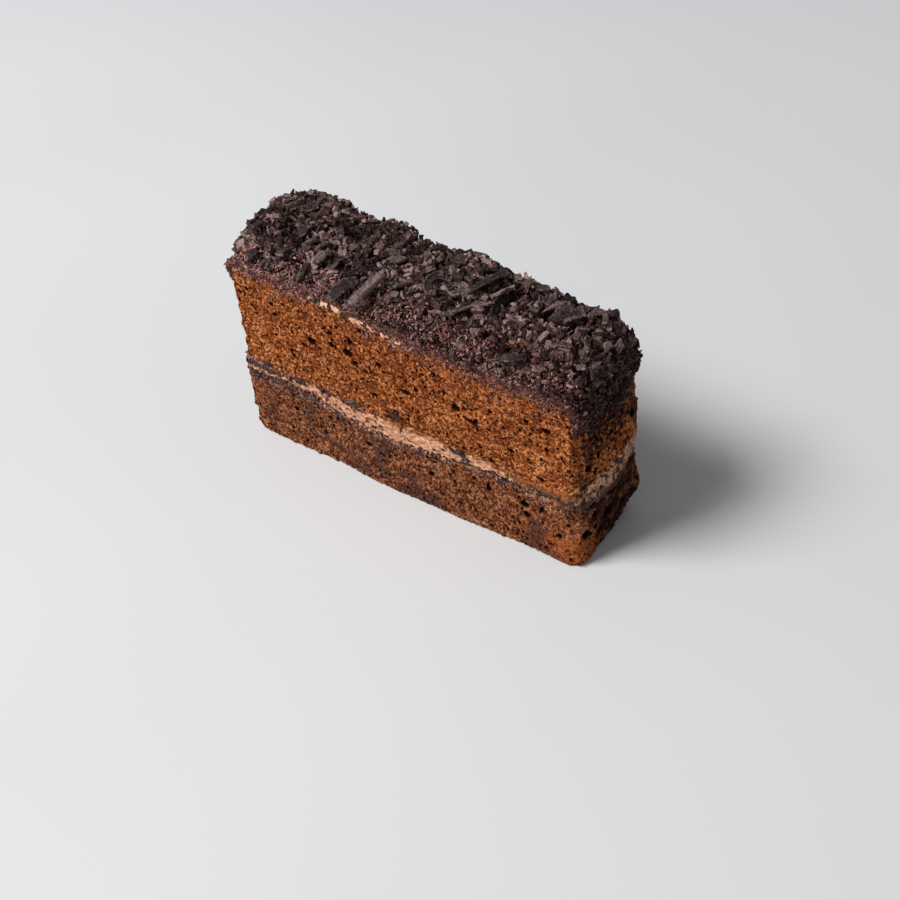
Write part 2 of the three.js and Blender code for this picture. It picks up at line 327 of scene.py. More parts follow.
# ---- The slice's form ---------------------------------------------------------------------------
@dataclass(frozen=True)
class Line:
    """A smooth plane curve through points, each a place along the slice and a height."""

    points: tuple[tuple[float, float], ...]

    @cached_property
    def samples(self) -> Array:
        """Closely spaced points of the curve."""
        knots = np.array(self.points, float)
        last = len(knots) - 1
        place = np.linspace(0, last, 6001)
        start = np.minimum(place.astype(int), last - 1)
        t = (place - start)[:, None]
        before, here = knots[np.maximum(start - 1, 0)], knots[start]
        after, beyond = knots[start + 1], knots[np.minimum(start + 2, last)]
        pull, push = (after - before) / 2, (beyond - here) / 2
        cubic = 2 * here - 2 * after + pull + push
        square = -3 * here + 3 * after - 2 * pull - push
        return cubic * t**3 + square * t**2 + pull * t + here

    @cached_property
    def shares(self) -> Array:
        """The share of the curve's length at each sample."""
        steps = np.linalg.norm(np.diff(self.samples, axis=0), axis=1)
        lengths = np.concatenate([[0], np.cumsum(steps)])
        return lengths / lengths[-1]

    def height_at(self, x: Array) -> Array:
        """The curve's height at places along the slice."""
        return np.interp(x, self.samples[:, 0], self.samples[:, 1])

    def point_at(self, share: Array) -> Array:
        """The points at shares of the curve's length."""
        return np.stack([np.interp(share, self.shares, self.samples[:, axis]) for axis in (0, 1)], -1)

    def outward_at(self, share: Array) -> Array:
        """The directions square to the curve, to its upper side, at shares of its length."""
        step = 0.002
        run = self.point_at(np.minimum(1, share + step)) - self.point_at(np.maximum(0, share - step))
        run = unit(run)
        return np.stack([-run[..., 1], run[..., 0]], -1)


@dataclass(frozen=True)
class SliceForm:
    """The cut slice's outer form, which every layer follows."""

    length: float = 106
    wide_width: float = 35.4
    narrow_width: float = 29.7
    base_narrowing: float = 3.8
    cut_side_y: float = -17.2
    corner_radius: float = 1.6
    end_bulge: float = 0.9
    foot_flare: float = 1.8
    foot_tuck: float = 1.2
    far_lump: float = 1.8
    filling_base: Line = Line(
        ((-53, 19), (-42, 19.4), (-22, 16.9), (0, 15.6), (18, 17.4), (40, 17.2), (49, 17.8), (53, 16.8))
    )
    filling_top: Line = Line(
        ((-53, 24.6), (-30, 24.6), (-14, 22.9), (4, 22.8), (22, 22), (40, 21), (49, 22.4), (53, 25.2))
    )
    crown: Line = Line(
        (
            (-51, 50.8), (-50.2, 53.6), (-46.5, 54.9), (-22, 53.2), (-3, 50.4),
            (20, 49.6), (34, 48.6), (43, 48.8), (48.4, 49), (50.4, 47), (51, 42),
        )
    )
    wide_end_reach: float = 0.9
    end_dip: float = 1.9
    raggedness: float = 0.5

    @property
    def half(self) -> float:
        """Half of the slice's length."""
        return self.length / 2

    @staticmethod
    def waves(a: Array, b: Array, length: float) -> Array:
        """Gentle unevenness between about -1 and 1, from two crossed waves."""
        k = 2 * math.pi / length
        crossed = 0.4 * np.cos(k * 0.71 * a - k * 1.13 * b + 2)
        return 0.6 * np.sin(k * a + 1.7 * np.sin(k * 0.53 * b)) + crossed

    def width_at(self, x: Array, z: Array) -> Array:
        """The slice's width at places along it and at heights, in millimetres."""
        width = mix(self.wide_width, self.narrow_width, (x + self.half) / self.length)
        return width - self.base_narrowing * (1 - smooth(z, 4, 34))

    def place(self, x: Array, z: Array, along: Array, across: Array) -> Array:
        """Moves points of the plain slice to their uneven places.

        Args:
            x: places along the slice.
            z: heights.
            along: from -1 at the wide end to 1 at the narrow end.
            across: from -1 at the flat cut side to 1 at the leaning one.

        Returns:
            Points in millimetres, one row each.
        """
        x, z, along, across = np.broadcast_arrays(x, z, along, across)
        towards_end = smooth(np.abs(x), self.half - 14, self.half)
        bulge = (self.end_bulge + 0.5 * self.waves(across * 16, z, 17)) * (1 - 0.9 * across * across)
        flare = self.foot_flare * smooth(x, -36, -2) * (1 - smooth(z, 0, 17))
        front = self.cut_side_y + 0.35 * self.waves(x, z, 31) - flare
        back = self.cut_side_y + self.width_at(x, z) + 0.8 * self.waves(x + 20, z, 26)
        at_narrow_end = smooth(x, self.half - 9, self.half)
        lump = self.far_lump * at_narrow_end * smooth(across, 0, 1) * np.exp(-(((z - 8.5) / 4) ** 2))
        tuck = self.foot_tuck * at_narrow_end * smooth(across, -1.2, 0.4) * (1 - smooth(z, 0, 9))
        near_corner = smooth(np.abs(along), 0.93, 1) * smooth(np.abs(across), 0.8, 1)
        inwards = self.corner_radius * (1 - math.sqrt(0.5)) * near_corner
        px = x + np.sign(x) * towards_end * bulge + lump - tuck - np.sign(along) * inwards
        px = px - self.wide_end_reach * smooth(-x, self.half - 13, self.half)
        py = mix(front, back, (across + 1) / 2) - np.sign(across) * inwards
        return np.stack([px, py, z], -1)

    def ragged(self, x: Array, across: Array, seed: int) -> Array:
        """How far a layer's edge wanders up or down."""
        spots = np.stack(np.broadcast_arrays(x, across * HALF_DEPTH, np.zeros_like(across) + seed * 3.7), -1)
        broad, fine = grain(spots, 4.5, seed), grain(spots, 1.7, seed + 9)
        return self.raggedness * (broad + 0.6 * fine + 0.4 * grain(spots, 0.8, seed + 17))

    def filling_edge(self, line: Line, share: Array, along: Array, across: Array, seed: int) -> Array:
        """The edge between a sponge and the filling, which sags in the middle of the narrow end."""
        x = mix(-self.half, self.half, share)
        sag = self.end_dip * smooth(along, 0.985, 1) * (np.exp(-(((across + 0.05) / 0.5) ** 2)) - 0.3)
        return np.stack([x, line.height_at(x) - sag + self.ragged(x, across, seed)], -1)

    def above_crown(self, share: Array, depth: Array) -> Array:
        """Points square above the crown by a depth, each a place along the slice and a height."""
        return self.crown.point_at(share) + self.crown.outward_at(share) * np.asarray(depth)[..., None]

    def over_crown(self, share: Array, across: Array | float, depth: Array) -> Array:
        """The same, moved to their uneven places."""
        section = self.above_crown(share, depth)
        return self.place(section[..., 0], section[..., 1], share * 2 - 1, across)

    def clean_stretch(self, share: Array, across: Array) -> Array:
        """Where on the crown's front edge the cream shows clean under the crumbs."""
        x = self.crown.point_at(share)[..., 0]
        whole = smooth(x, -26.5, -24.5) * smooth(x, 8, 0) * (1 - 0.9 * np.exp(-(((x + 14.4) / 1.3) ** 2)))
        return whole * smooth(-across, 0.86, 0.98)

    @staticmethod
    def thin_corner(share: Array, across: Array | float) -> Array:
        """What share of its thickness the coat and what lies on it keep, less at the two ends."""
        kept = 1 - 0.75 * smooth(share, 0.05, 0) * smooth(-across, -0.2, 0.8)
        return kept * (1 - 0.5 * smooth(share, 0.93, 0.985))

    def share_at(self, x: float) -> float:
        """The share of the crown's length at a place along the slice."""
        return float(np.interp(x, self.crown.samples[:, 0], self.crown.shares))

    def across_at(self, x: float, y: float) -> float:
        """The place across, from -1 to 1, of a distance y at a place along."""
        return float(2 * (y - self.cut_side_y) / self.width_at(np.array(x), np.array(50.0)) - 1)


# ---- Layers: a fine tube of four cut sides ------------------------------------------------------
@dataclass(frozen=True)
class Hollow:
    """A larger hole in a cut side: its place along, height, half-width, half-height, slant and depth.

    With at_end it is in the narrow end, and its place is the distance from front to back.
    """

    x: float
    z: float
    wide: float
    high: float
    slant: float = 0
    depth: float = 1.2
    at_end: bool = False
    end_starts: float = 49

    def sink(self, points: Array) -> Array:
        """How far inside the hole each point of the cut side is.

        Args:
            points: places in millimetres.

        Returns:
            A number from 0 to 1 for each point.
        """
        dx, dz = points[..., int(self.at_end)] - self.x, points[..., 2] - self.z
        c, s = math.cos(math.radians(self.slant)), math.sin(math.radians(self.slant))
        wobble = 0.3 * grain(points, 0.8, int(self.x * 7) + 400)
        reach = 1.25 + wobble - np.hypot((dx * c + dz * s) / self.wide, (dz * c - dx * s) / self.high)
        side = points[..., 0] > self.end_starts if self.at_end else points[..., 1] < 0
        return np.where(side, np.clip(reach, 0, 1), 0)


@dataclass
class Layer:
    """One layer of the slice: the four cut sides as one fine tube, closed above and below.

    The tube starts as a many-sided cylinder whose upright edges are cut into rows. Its columns and rows
    are kept as a grid, so that a side can be read and shaped by its place along and its height. It runs
    on by the overlap behind the layers that it meets, sunk out of sight. dark_from is how far inside a
    hollow its painted shade is full.
    """

    name: str
    node: str
    slot: str
    form: SliceForm
    hollows: tuple[Hollow, ...] = ()
    rows: int = 26
    seed: int = 31
    columns: int = 940
    overlap: float = 0.5
    dark_from: float = 0.5

    @cached_property
    def sides(self) -> tuple[Array, Array]:
        """Each column's place along and across, going round from the wide end's front corner."""
        f = self.form
        stops = np.cumsum([0, f.length, f.narrow_width, f.length, f.wide_width])
        where = (np.arange(self.columns) + 0.5) / self.columns * stops[-1]
        return np.interp(where, stops, [-1, 1, 1, -1, -1]), np.interp(where, stops, [-1, -1, 1, 1, -1])

    def spread(
        self, low: Array, high: Array, reach: Array, under: float
    ) -> tuple[Array, Array, Array]:
        """Spreads the rows from under the layer's lower edge to over its upper one.

        Args:
            low: the lower edge, a place along and a height for each column.
            high: the upper edge.
            reach: how far apart they are.
            under: how far below the lower edge the rows start.

        Returns:
            For each row and column its rise above the lower edge, its place and its outward direction.
        """
        along, across = self.sides
        rise = np.linspace(0, 1, self.rows + 1)[:, None] * (reach + under + self.overlap) - under
        section = low[None] + (high - low)[None] * (rise / reach)[..., None]
        face = self.form.place(section[..., 0], section[..., 1], along[None], across[None])
        round_about = np.roll(face, -1, 1) - np.roll(face, 1, 1)
        return rise, face, unit(np.cross(round_about, np.gradient(face, axis=0)))

    def open_hollows(self, face: Array, sunk: Array, pore: Array) -> tuple[Array, Array]:
        """Sinks the layer's larger holes and darkens them as painted shade.

        Args:
            face: places on the cut sides.
            sunk: how deep each is sunk so far, in millimetres.
            pore: how much painted shade it gets inside a pore so far, from 0 to 1.

        Returns:
            The same two with the holes.
        """
        for hollow in self.hollows:
            inside = hollow.sink(face)
            sunk = np.maximum(sunk, hollow.depth * np.sqrt(inside))
            pore = np.maximum(pore, smooth(inside, 0, self.dark_from))
        return sunk, pore

    def mould(self, points: Array, looks: dict[str, Array]) -> Thing:
        """Makes the tube and moves its vertices to their places.

        Args:
            points: the place of each row and column, in millimetres.
            looks: what the finish reads, by name, for each row and column.

        Returns:
            The new object.
        """
        obj = primitive("cylinder", vertices=self.columns, radius=1, depth=2, end_fill_type="NGON")
        obj.name = obj.data.name = self.name
        cut_along(obj, 2, self.rows - 1)
        plain = read_points(obj.data)
        turn = (np.arctan2(plain[:, 1], plain[:, 0]) + math.pi) / (2 * math.pi)
        column = np.round(turn * self.columns - 0.5 * (self.columns % 2)).astype(int) % self.columns
        row = np.round((plain[:, 2] + 1) / 2 * self.rows).astype(int)
        write_points(obj.data, points[row, column] * MM)
        for name, values in looks.items():
            note(obj.data, name, np.broadcast_to(values, points.shape[:2])[row, column])
        return obj


@dataclass(frozen=True)
class Crumb:
    """How open and how rough a sponge's cut face is.

    coarse, middle and fine are the three sizes of air bubble: their spacing, smallest and largest
    radius, and the share of places that have one. darkness is how dark each size is painted inside, as
    painted shade.
    """

    coarse: tuple[float, float, float, float] = (3.3, 0.5, 0.9, 0.3)
    middle: tuple[float, float, float, float] = (1.6, 0.32, 0.6, 0.62)
    fine: tuple[float, float, float, float] = (0.95, 0.24, 0.4, 0.8)
    darkness: tuple[float, float, float] = (1, 0.8, 0.5)
    lumps: float = 0.26
    grit: float = 0.27
    worn_corner: float = 0.7


@dataclass
class Sponge(Layer):
    """A baked sponge layer: torn and cut crumb on four sides, with open air bubbles."""

    crumb: Crumb = Crumb()
    upper: bool = False
    dark_from: float = 0.4

    def edges(self) -> tuple[Array, Array]:
        """The layer's edges round its four sides.

        Returns:
            Its lower and its upper edge, each a place along and a height for every column.
        """
        along, across = self.sides
        share = (along + 1) / 2
        f = self.form
        if self.upper:
            low = f.filling_edge(f.filling_top, share, along, across, 2)
            return low, f.above_crown(share, 0.25 + 0.5 * f.ragged(share * f.length, across, 5))
        low = np.stack([mix(-f.half, f.half, share), np.zeros_like(share)], -1)
        return low, f.filling_edge(f.filling_base, share, along, across, 1)

    def build(self) -> Thing:
        """Makes the layer's mesh with its crumb.

        Returns:
            The new object.
        """
        low, high = self.edges()
        reach = np.maximum(high[:, 1] - low[:, 1], 1)
        under = self.overlap if self.upper else 0.0
        rise, face, out = self.spread(low, high, reach, under)
        sunk, pore = self.crumb_relief(face)
        hidden = smooth(np.maximum(rise - reach, -rise if self.upper else -1), 0, self.overlap)
        calm = smooth(reach + self.overlap - rise, 0, 0.5)
        if self.upper:
            calm = calm * smooth(rise + under, 0, 0.5)
        shift = -sunk * (1 - hidden) * calm - 0.7 * hidden
        corner = smooth(np.abs(self.sides[0]), 0.94, 1) * smooth(np.abs(self.sides[1]), 0.84, 1)
        shift -= self.crumb.worn_corner * corner * (0.7 + grain(face, (2.6, 2.6, 2.0), self.seed + 60))
        if not self.upper:
            shift += 0.25 - 0.4 * smooth(face[..., 2], 0.5, 0) ** 2
        points = face + out * shift[..., None]
        points[..., 2] = np.maximum(points[..., 2], 0)
        return self.mould(points, {"pore": pore * calm, **self.stains(face, low, high)})

    def crumb_relief(self, face: Array) -> tuple[Array, Array]:
        """Opens the crumb's bubbles, from coarse to fine, and its hollows.

        Args:
            face: places on the cut sides.

        Returns:
            How deep each place is sunk, in millimetres, and its painted shade inside a pore, from 0 to 1.
        """
        warp = np.stack([grain(face, 2.6, self.seed + k) for k in (11, 12, 13)], -1)
        inner = (face + 0.5 * warp) * np.array([1.08, 1.08, 0.92])
        sunk = self.crumb.lumps * grain(face, (2.4, 2.4, 1.9), self.seed + 21)
        sunk = sunk + self.crumb.grit * grain(face, 0.75, self.seed + 22) + 0.12
        pore = np.zeros(face.shape[:2])
        sorts = (self.crumb.coarse, self.crumb.middle, self.crumb.fine)
        for k, ((cell, small, large, share), dark) in enumerate(zip(sorts, self.crumb.darkness)):
            depth, inside = bubbles(inner, cell, (small, large), share, self.seed + 40 * (k + 1))
            sunk = np.maximum(sunk, depth * 1.15)
            # Painted shade: the inside of each bubble is darkened, on top of its sunk relief.
            pore = np.maximum(pore, dark * smooth(inside, -0.05, 0.4))
        return self.open_hollows(face, sunk, pore)

    def stains(self, face: Array, low: Array, high: Array) -> dict[str, Array]:
        """Where chocolate dust, cream and damp show on the cut face, with painted shade added to the damp at
        the narrow end.

        Args:
            face: places on the cut sides.
            low: the layer's lower edge.
            high: its upper edge.

        Returns:
            For each stain a number from 0 to 1 at every place.
        """
        x, y, z = face[..., 0], face[..., 1], face[..., 2]
        half = self.form.half
        end = smooth(x, half - 2.2, half - 0.2)
        spots = grain(face, 2.2, self.seed + 71) + 0.7 * grain(face, 0.9, self.seed + 72)
        broad = grain(face, 8, self.seed + 73)
        from_top = high[None, :, 1] - z
        if self.upper:
            fallen = grain(face, 0.7, self.seed + 76) + 0.6 * grain(face, 1.6, self.seed + 77)
            dust = 0.75 * smooth(from_top, mix(3.8, 2.4, smooth(x, -10, 10)), 0.2)
            dust = dust * smooth(fallen, -0.1, 0.35) * (1 - 0.5 * end)
            dust = np.maximum(dust, end * smooth(z + 6 * spots + 0.25 * y, 34, 45))
            dust = np.maximum(dust, 0.7 * end * smooth(broad + 0.8 * spots, 0.1, 0.6))
            corner = smooth(x, 48, 53) * smooth(z, 24, 30) * smooth(y, -12, -16)
            dust = np.maximum(dust, 0.75 * corner * smooth(broad + 0.8 * spots, 0, 0.6))
            # Darker patches on the narrow end: partly damp crumb, partly painted shade.
            damp_and_shade = 0.3 * end * smooth(grain(face, 3.2, self.seed + 75) + 0.5 * spots, 0.0, 0.7)
            cream = 0.75 * smooth(z - low[None, :, 1], 1.3, 0) * smooth(spots, 0.0, 0.9)
            dotted = 0.8 * smooth(from_top, 1.3, 0.1) * smooth(spots, -0.1, 0.6)
            cream = np.maximum(cream, dotted * mix(0.6, 1, smooth(x, 12, 2)))
        else:
            dust = 0.75 * smooth(from_top, 2.2, 0) * smooth(spots, -0.7, 0.4)
            dust = np.maximum(dust, 0.7 * smooth(broad + 0.45 * spots, 0.05, 0.7))
            # The narrow end, away from its front corner, is darkened: partly damp crumb, partly painted
            # shade.
            damp = smooth(y + 2.5 * spots + 0.2 * z, -14, -9)
            damp_and_shade = end * (0.45 + 0.55 * smooth(spots, -0.5, 0.4)) * damp
            cream = 0.55 * smooth(from_top, 1.2, 0) * smooth(spots, 0.1, 0.9)
        warm = smooth(x, half - 24, half - 3) * smooth(z, 13, 5) * smooth(y, 6, -12)
        return {"dust": dust, "cream": cream, "warm": warm, "damp_and_shade": damp_and_shade}


@dataclass
class CreamBand(Layer):
    """A band of chocolate cream between two layers: dragged by the knife, with dark crumbs in it.

    As a coat it lies on the crown, and otherwise between the sponges. fringe gives, at places along the
    flat side, how much of the band's height is dark at its foot.
    """

    coat: bool = False
    fringe: tuple[tuple[float, ...], tuple[float, ...]] = (
        (-53, -40, -31, -26, -12, 6, 24, 32, 53), (0.6, 0.52, 0.42, 0.24, 0.18, 0.14, 0.28, 0.46, 0.5),
    )

    def edges(self) -> tuple[Array, Array]:
        """The band's edges round its four sides.

        Returns:
            Its lower and its upper edge, each a place along and a height for every column.
        """
        along, across = self.sides
        share = (along + 1) / 2
        f = self.form
        if self.coat:
            wander = 0.5 * f.ragged(share * f.length, across, 5)
            clean, thin = f.clean_stretch(share, across), f.thin_corner(share, across)
            low = f.above_crown(share, (0.25 + wander - 0.3 * clean) * thin)
            return low, f.above_crown(share, (1.7 + wander + 1.1 * clean) * thin)
        low = f.filling_edge(f.filling_base, share, along, across, 1)
        return low, f.filling_edge(f.filling_top, share, along, across, 2)

    def build(self) -> Thing:
        """Makes the band's mesh with its drag marks and holes.

        Returns:
            The new object.
        """
        low, high = self.edges()
        reach = np.maximum(np.linalg.norm(high - low, axis=1), 0.6)
        rise, face, out = self.spread(low, high, reach, self.overlap)
        hidden = smooth(np.maximum(rise - reach, -rise), 0, self.overlap)
        sunk, pore = self.drag_relief(face)
        shift = -sunk * (1 - hidden) - 0.8 * hidden
        along, across = self.sides
        clean = self.form.clean_stretch((along + 1) / 2, across) if self.coat else 0.0
        uneven = 0.75 + 0.5 * grain(face, 2.2, self.seed + 21) + 0.5 * grain(face, 1.0, self.seed + 22)
        clean = clean * uneven
        shift += 0.7 * clean * np.sin(np.clip(rise / reach, 0, 0.8) / 0.8 * math.pi) * (1 - hidden)
        share = np.clip(rise / reach, 0, 1)
        looks = {
            "pore": pore * (1 - 0.6 * clean),
            "crumbs_and_shade": self.crumbs_and_shade_share(face, share),
            "smeared": self.smeared_sponge(face, share),
            # Where the coat shows clean the cream is lightened, partly as a painted highlight on its ridge.
            "clean_and_highlight": np.clip(clean, 0, 1),
        }
        return self.mould(face + out * shift[..., None], looks)

    def drag_relief(self, face: Array) -> tuple[Array, Array]:
        """Drags streaks along the band and opens its small holes.

        Args:
            face: places on the cut sides.

        Returns:
            How deep each place is sunk, in millimetres, and its painted shade inside a hole, from 0 to 1.
        """
        sunk = 0.3 * grain(face, (3.2, 3.2, 1.0), self.seed)
        sunk = sunk + 0.26 * grain(face, (1.2, 1.2, 0.6), self.seed + 1) + 0.16
        sunk = sunk + 0.35 * smooth(grain(face, 3.0, self.seed + 2), 0.1, 0.7)
        depth, inside = bubbles(face, 1.5, (0.24, 0.5), 0.36, self.seed + 7)
        # Painted shade: the holes are darkened inside, on top of their sunk relief.
        return self.open_hollows(face, np.maximum(sunk, depth), smooth(inside, 0.0, 0.6))

    def smeared_sponge(self, face: Array, share: Array) -> Array:
        """How much of the sponge's own crumb the knife dragged over the cream.

        Args:
            face: places on the cut sides.
            share: how far up the band each is, from 0 to 1.

        Returns:
            A number from 0 to 1 for each place.
        """
        if self.coat:
            return np.zeros_like(share)
        x, y = face[..., 0], face[..., 1]
        spots = grain(face, 1.3, self.seed + 13) + 0.8 * grain(face, 0.6, self.seed + 14)
        towards_corner = smooth(x, 20, 46) * smooth(y, -14, -16)
        over = smooth(share + 0.34 * spots, 0.86 - 0.6 * towards_corner, 0.98 - 0.6 * towards_corner)
        loose = smooth(spots, 0.75 - 0.5 * towards_corner, 1.15 - 0.5 * towards_corner)
        return np.clip(np.maximum(over, 0.8 * loose), 0, 1)

    def crumbs_and_shade_share(self, face: Array, share: Array) -> Array:
        """How much of the cream is dark with crumbs, and at the narrow end also with painted shade.

        Args:
            face: places on the cut sides.
            share: how far up the band each is, from 0 to 1.

        Returns:
            A number from 0 to 1 for each place.
        """
        x, y = face[..., 0], face[..., 1]
        spots = grain(face, 1.5, self.seed + 3) + 0.7 * grain(face, 0.7, self.seed + 4)
        if self.coat:
            clean = smooth(x, -27, -24.5) * smooth(x, 9, 1) * smooth(y, -14, -15.5)
            clean = clean * (1 - 0.9 * np.exp(-(((x + 14.4) / 1.2) ** 2)))
            return np.clip(smooth(spots, -1.3, -0.3) * (1 - clean) + clean * smooth(spots, 0.1, 0.5), 0, 1)
        front = smooth(y, -14, -16)
        fringe = np.interp(x, self.fringe[0], self.fringe[1])
        lower = smooth(share + 0.34 * spots, fringe + 0.08, fringe - 0.06)
        lower = lower * (0.45 + 0.55 * smooth(spots, -0.6, 0.3))
        upper = smooth(share + 0.22 * spots, 0.67, 0.84) * smooth(x, -28, -36)
        upper = np.maximum(upper, 0.8 * smooth(share + 0.25 * spots, 0.86, 1.0) * smooth(x, -6, -12))
        dark = np.maximum(np.maximum(lower, upper), 0.9 * smooth(spots, 0.36, 0.78))
        # At the narrow end the cream is darkened partly by crumbs and partly as painted shade, most at its
        # lower edge.
        ends = 0.26 + 0.6 * smooth(spots, 0.15, 0.7) + 0.4 * smooth(share + 0.2 * spots, 0.36, 0.02)
        far = np.maximum(smooth(share + 0.15 * spots, 0.3, 0.15), 0.7 * smooth(spots, 0.35, 0.9))
        at_end = smooth(x, self.form.half - 1.5, self.form.half)
        return np.clip(mix(mix(far, dark, front), ends, at_end), 0, 1)


# ---- Topping ------------------------------------------------------------------------------------
def quarter_round(inwards: Array) -> Array:
    """A quarter of a circle that rises from 0 to 1, steep at first."""
    return np.sqrt(1 - (1 - np.clip(inwards, 0, 1)) ** 2)


@dataclass
class ToppingBed:
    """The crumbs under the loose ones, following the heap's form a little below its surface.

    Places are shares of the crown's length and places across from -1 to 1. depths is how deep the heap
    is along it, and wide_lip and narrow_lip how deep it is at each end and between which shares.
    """

    form: SliceForm
    name: str = "topping_bed"
    node: str = "topping"
    depths: Line = Line((
        (0, 7), (0.12, 5.2), (0.25, 4.8), (0.4, 6.6), (0.52, 8.8),
        (0.66, 8.6), (0.78, 7.6), (0.9, 8.8), (1, 9.4),
    ))
    wide_lip: tuple[float, float, float] = (1.6, 0.06, 0)
    narrow_lip: tuple[float, float, float] = (1, 0.9, 0.95)
    bare_corner: float = 0.85
    front_share: float = 0.4
    back_share: float = 0.25
    front_shoulder: float = 0.4
    back_shoulder: float = 0.75
    start: float = 1.6
    foot: float = 1.2
    sunk: float = 2.2
    clumps: float = 0.5
    steps: tuple[int, int] = (560, 190)
    mesh_steps: tuple[int, int] = (320, 110)

    @cached_property
    def grid(self) -> tuple[Array, Array]:
        """The even grid: its shares along as a column and its places across as a row."""
        along, across = self.steps
        return np.linspace(0.001, 0.999, along)[:, None], np.linspace(-0.995, 0.995, across)[None]

    def depth_along(self, share: Array) -> Array:
        """How deep the topping lies halfway across, at shares of the crown's length."""
        depth, end, start = self.wide_lip
        full = mix(self.depths.height_at(share), depth, 1 - smooth(share, start, end))
        depth, start, end = self.narrow_lip
        return mix(full, depth, smooth(share, start, end))

    def depth_at(self, share: Array, across: Array) -> Array:
        """How deep the topping lies.

        Args:
            share: shares of the crown's length.
            across: places across, from -1 to 1.

        Returns:
            The depth at each place, in millimetres.
        """
        front = mix(self.front_share, 1, quarter_round((1 + across) / self.front_shoulder))
        back = mix(self.back_share, 1, quarter_round((1 - across) / self.back_shoulder))
        back = back * (1 - 0.25 * smooth(across, 0.2, 0.8) * smooth(share, 0.16, 0.04))
        bare = self.bare_corner * smooth(-across, 0.2, 1) * (1 - smooth(share, 0.02, 0.1))
        edge = self.depth_along(share) * front * back * (1 - bare)
        x, y = share * self.form.length, across * HALF_DEPTH
        spots = np.stack(np.broadcast_arrays(x, y, 3.3), -1)
        lumps = self.clumps * (grain(spots, 4.6, 91) + 0.6 * grain(spots, 2.4, 92))
        waves = 0.55 * self.form.waves(x, y, 15) + 0.45 * self.form.waves(y + 0.4 * x, x, 7)
        return edge + (waves + lumps) * smooth(edge, 1.5, 5)

    @cached_property
    def clumping(self) -> Array:
        """How the loose pieces gather into clumps, on the even grid: above 1 in them, below in the gaps."""
        share, across = self.grid
        spots = np.stack(np.broadcast_arrays(share * self.form.length, across * HALF_DEPTH, 7.7), -1)
        return 1 + 0.55 * grain(spots, 4.4, 93) + 0.5 * grain(spots, 2.3, 94)

    def above_sunk(self, full: Array) -> Array:
        """How high the bed reaches where the topping lies the given depth."""
        return np.maximum(full - self.sunk, 0.22 * full)

    def loose_depth(self) -> Array:
        """How deep the loose pieces may lie above the bed, on the even grid, in millimetres."""
        share, across = self.grid
        full = self.depth_at(share, across)
        corner = 1 - 0.8 * smooth(-across, 0.1, 1) * smooth(share, 0.08, 0)
        at_ends = mix(0.35, 1, smooth(share, 0, 0.12)), mix(0.3, 1, smooth(share, 1, 0.92))
        uneven = self.clumping * corner * at_ends[0] * at_ends[1]
        return np.clip((full - self.above_sunk(full)) * uneven, 0.35, 3.2)

    def over_coat(self, share: Array, across: Array, start: float, more: Array | float = 0) -> Array:
        """Places above the crown, higher where the coat shows clean and lower at its corners."""
        depth = start + 1.1 * self.form.clean_stretch(share, across) + more
        return self.form.over_crown(share, across, depth * self.form.thin_corner(share, across))

    def surface(self, share: Array, across: Array) -> Array:
        """The bed's surface at shares along and places across, in millimetres."""
        share, across = np.broadcast_arrays(share, across)
        return self.over_coat(share, across, self.start, self.above_sunk(self.depth_at(share, across)))

    def build(self) -> Thing:
        """Makes the bed: a fine sheet on the surface, its rim drawn down to the cream and closed.

        Returns:
            The new object.
        """
        obj = primitive("grid", x_subdivisions=self.mesh_steps[0], y_subdivisions=self.mesh_steps[1], size=2)
        obj.name = obj.data.name = self.name
        used = np.zeros(len(obj.data.loops), np.int32)
        obj.data.loops.foreach_get("edge_index", used)
        rim = np.bincount(used, minlength=len(obj.data.edges)) == 1
        with editing(obj, rim):
            bpy.ops.mesh.extrude_region_move(TRANSFORM_OT_translate={"value": (0, 0, -1)})
            bpy.ops.mesh.edge_face_add()
        flat = read_points(obj.data)
        eased = flat[:, :2] * (1.3 - 0.3 * flat[:, :2] ** 2)
        share, across = (eased[:, 0] + 1) / 2, eased[:, 1]
        below = flat[:, 2] < -0.5
        base, points = self.over_coat(share, across, self.foot), self.surface(share, across)
        points = np.where(below[:, None], base, points)
        lumps = 0.35 * grain(points, 1.5, 81) + 0.22 * grain(points, 0.8, 82)
        points[:, 2] += np.where(below, 0, lumps)
        write_points(obj.data, points * MM)
        # Painted shade: the bed's top between the loose pieces is kept dark for the gaps in the heap; its rim
        # and sides, which lie open, are lighter.
        rimmed = below | (np.abs(across) > 0.985) | (share < 0.003) | (share > 0.997)
        note(obj.data, "shade", np.where(rimmed, 0.8, 0.25) + 0.2 * grain(points, 1.2, 83))
        return obj

    @cached_property
    def table(self) -> tuple[Array, Array, Array, Array]:
        """The surface, its outward direction, its direction along, and its area, on the even grid."""
        points = self.surface(*self.grid)
        along = np.gradient(points, axis=0)
        out = np.cross(along, np.gradient(points, axis=1))
        return points, unit(out), unit(along), np.linalg.norm(out, axis=-1)

    def cell_of(self, share: Array | float, across: Array | float) -> tuple[Array, Array]:
        """The row and column of the even grid at a share along and a place across."""
        rows, cols = self.steps[0] - 1, self.steps[1] - 1
        row = np.clip(np.asarray(share) * rows, 0, rows).astype(int)
        return row, np.clip((np.asarray(across) + 1) / 2 * cols, 0, cols).astype(int)


class Piece(Enum):
    """The kinds of chocolate piece, each modelled once in a few variants and copied."""

    CRUMB = "crumb"
    LUMP = "lump"
    SHRED = "shred"
    CHIP = "chip"
    CURL = "curl"


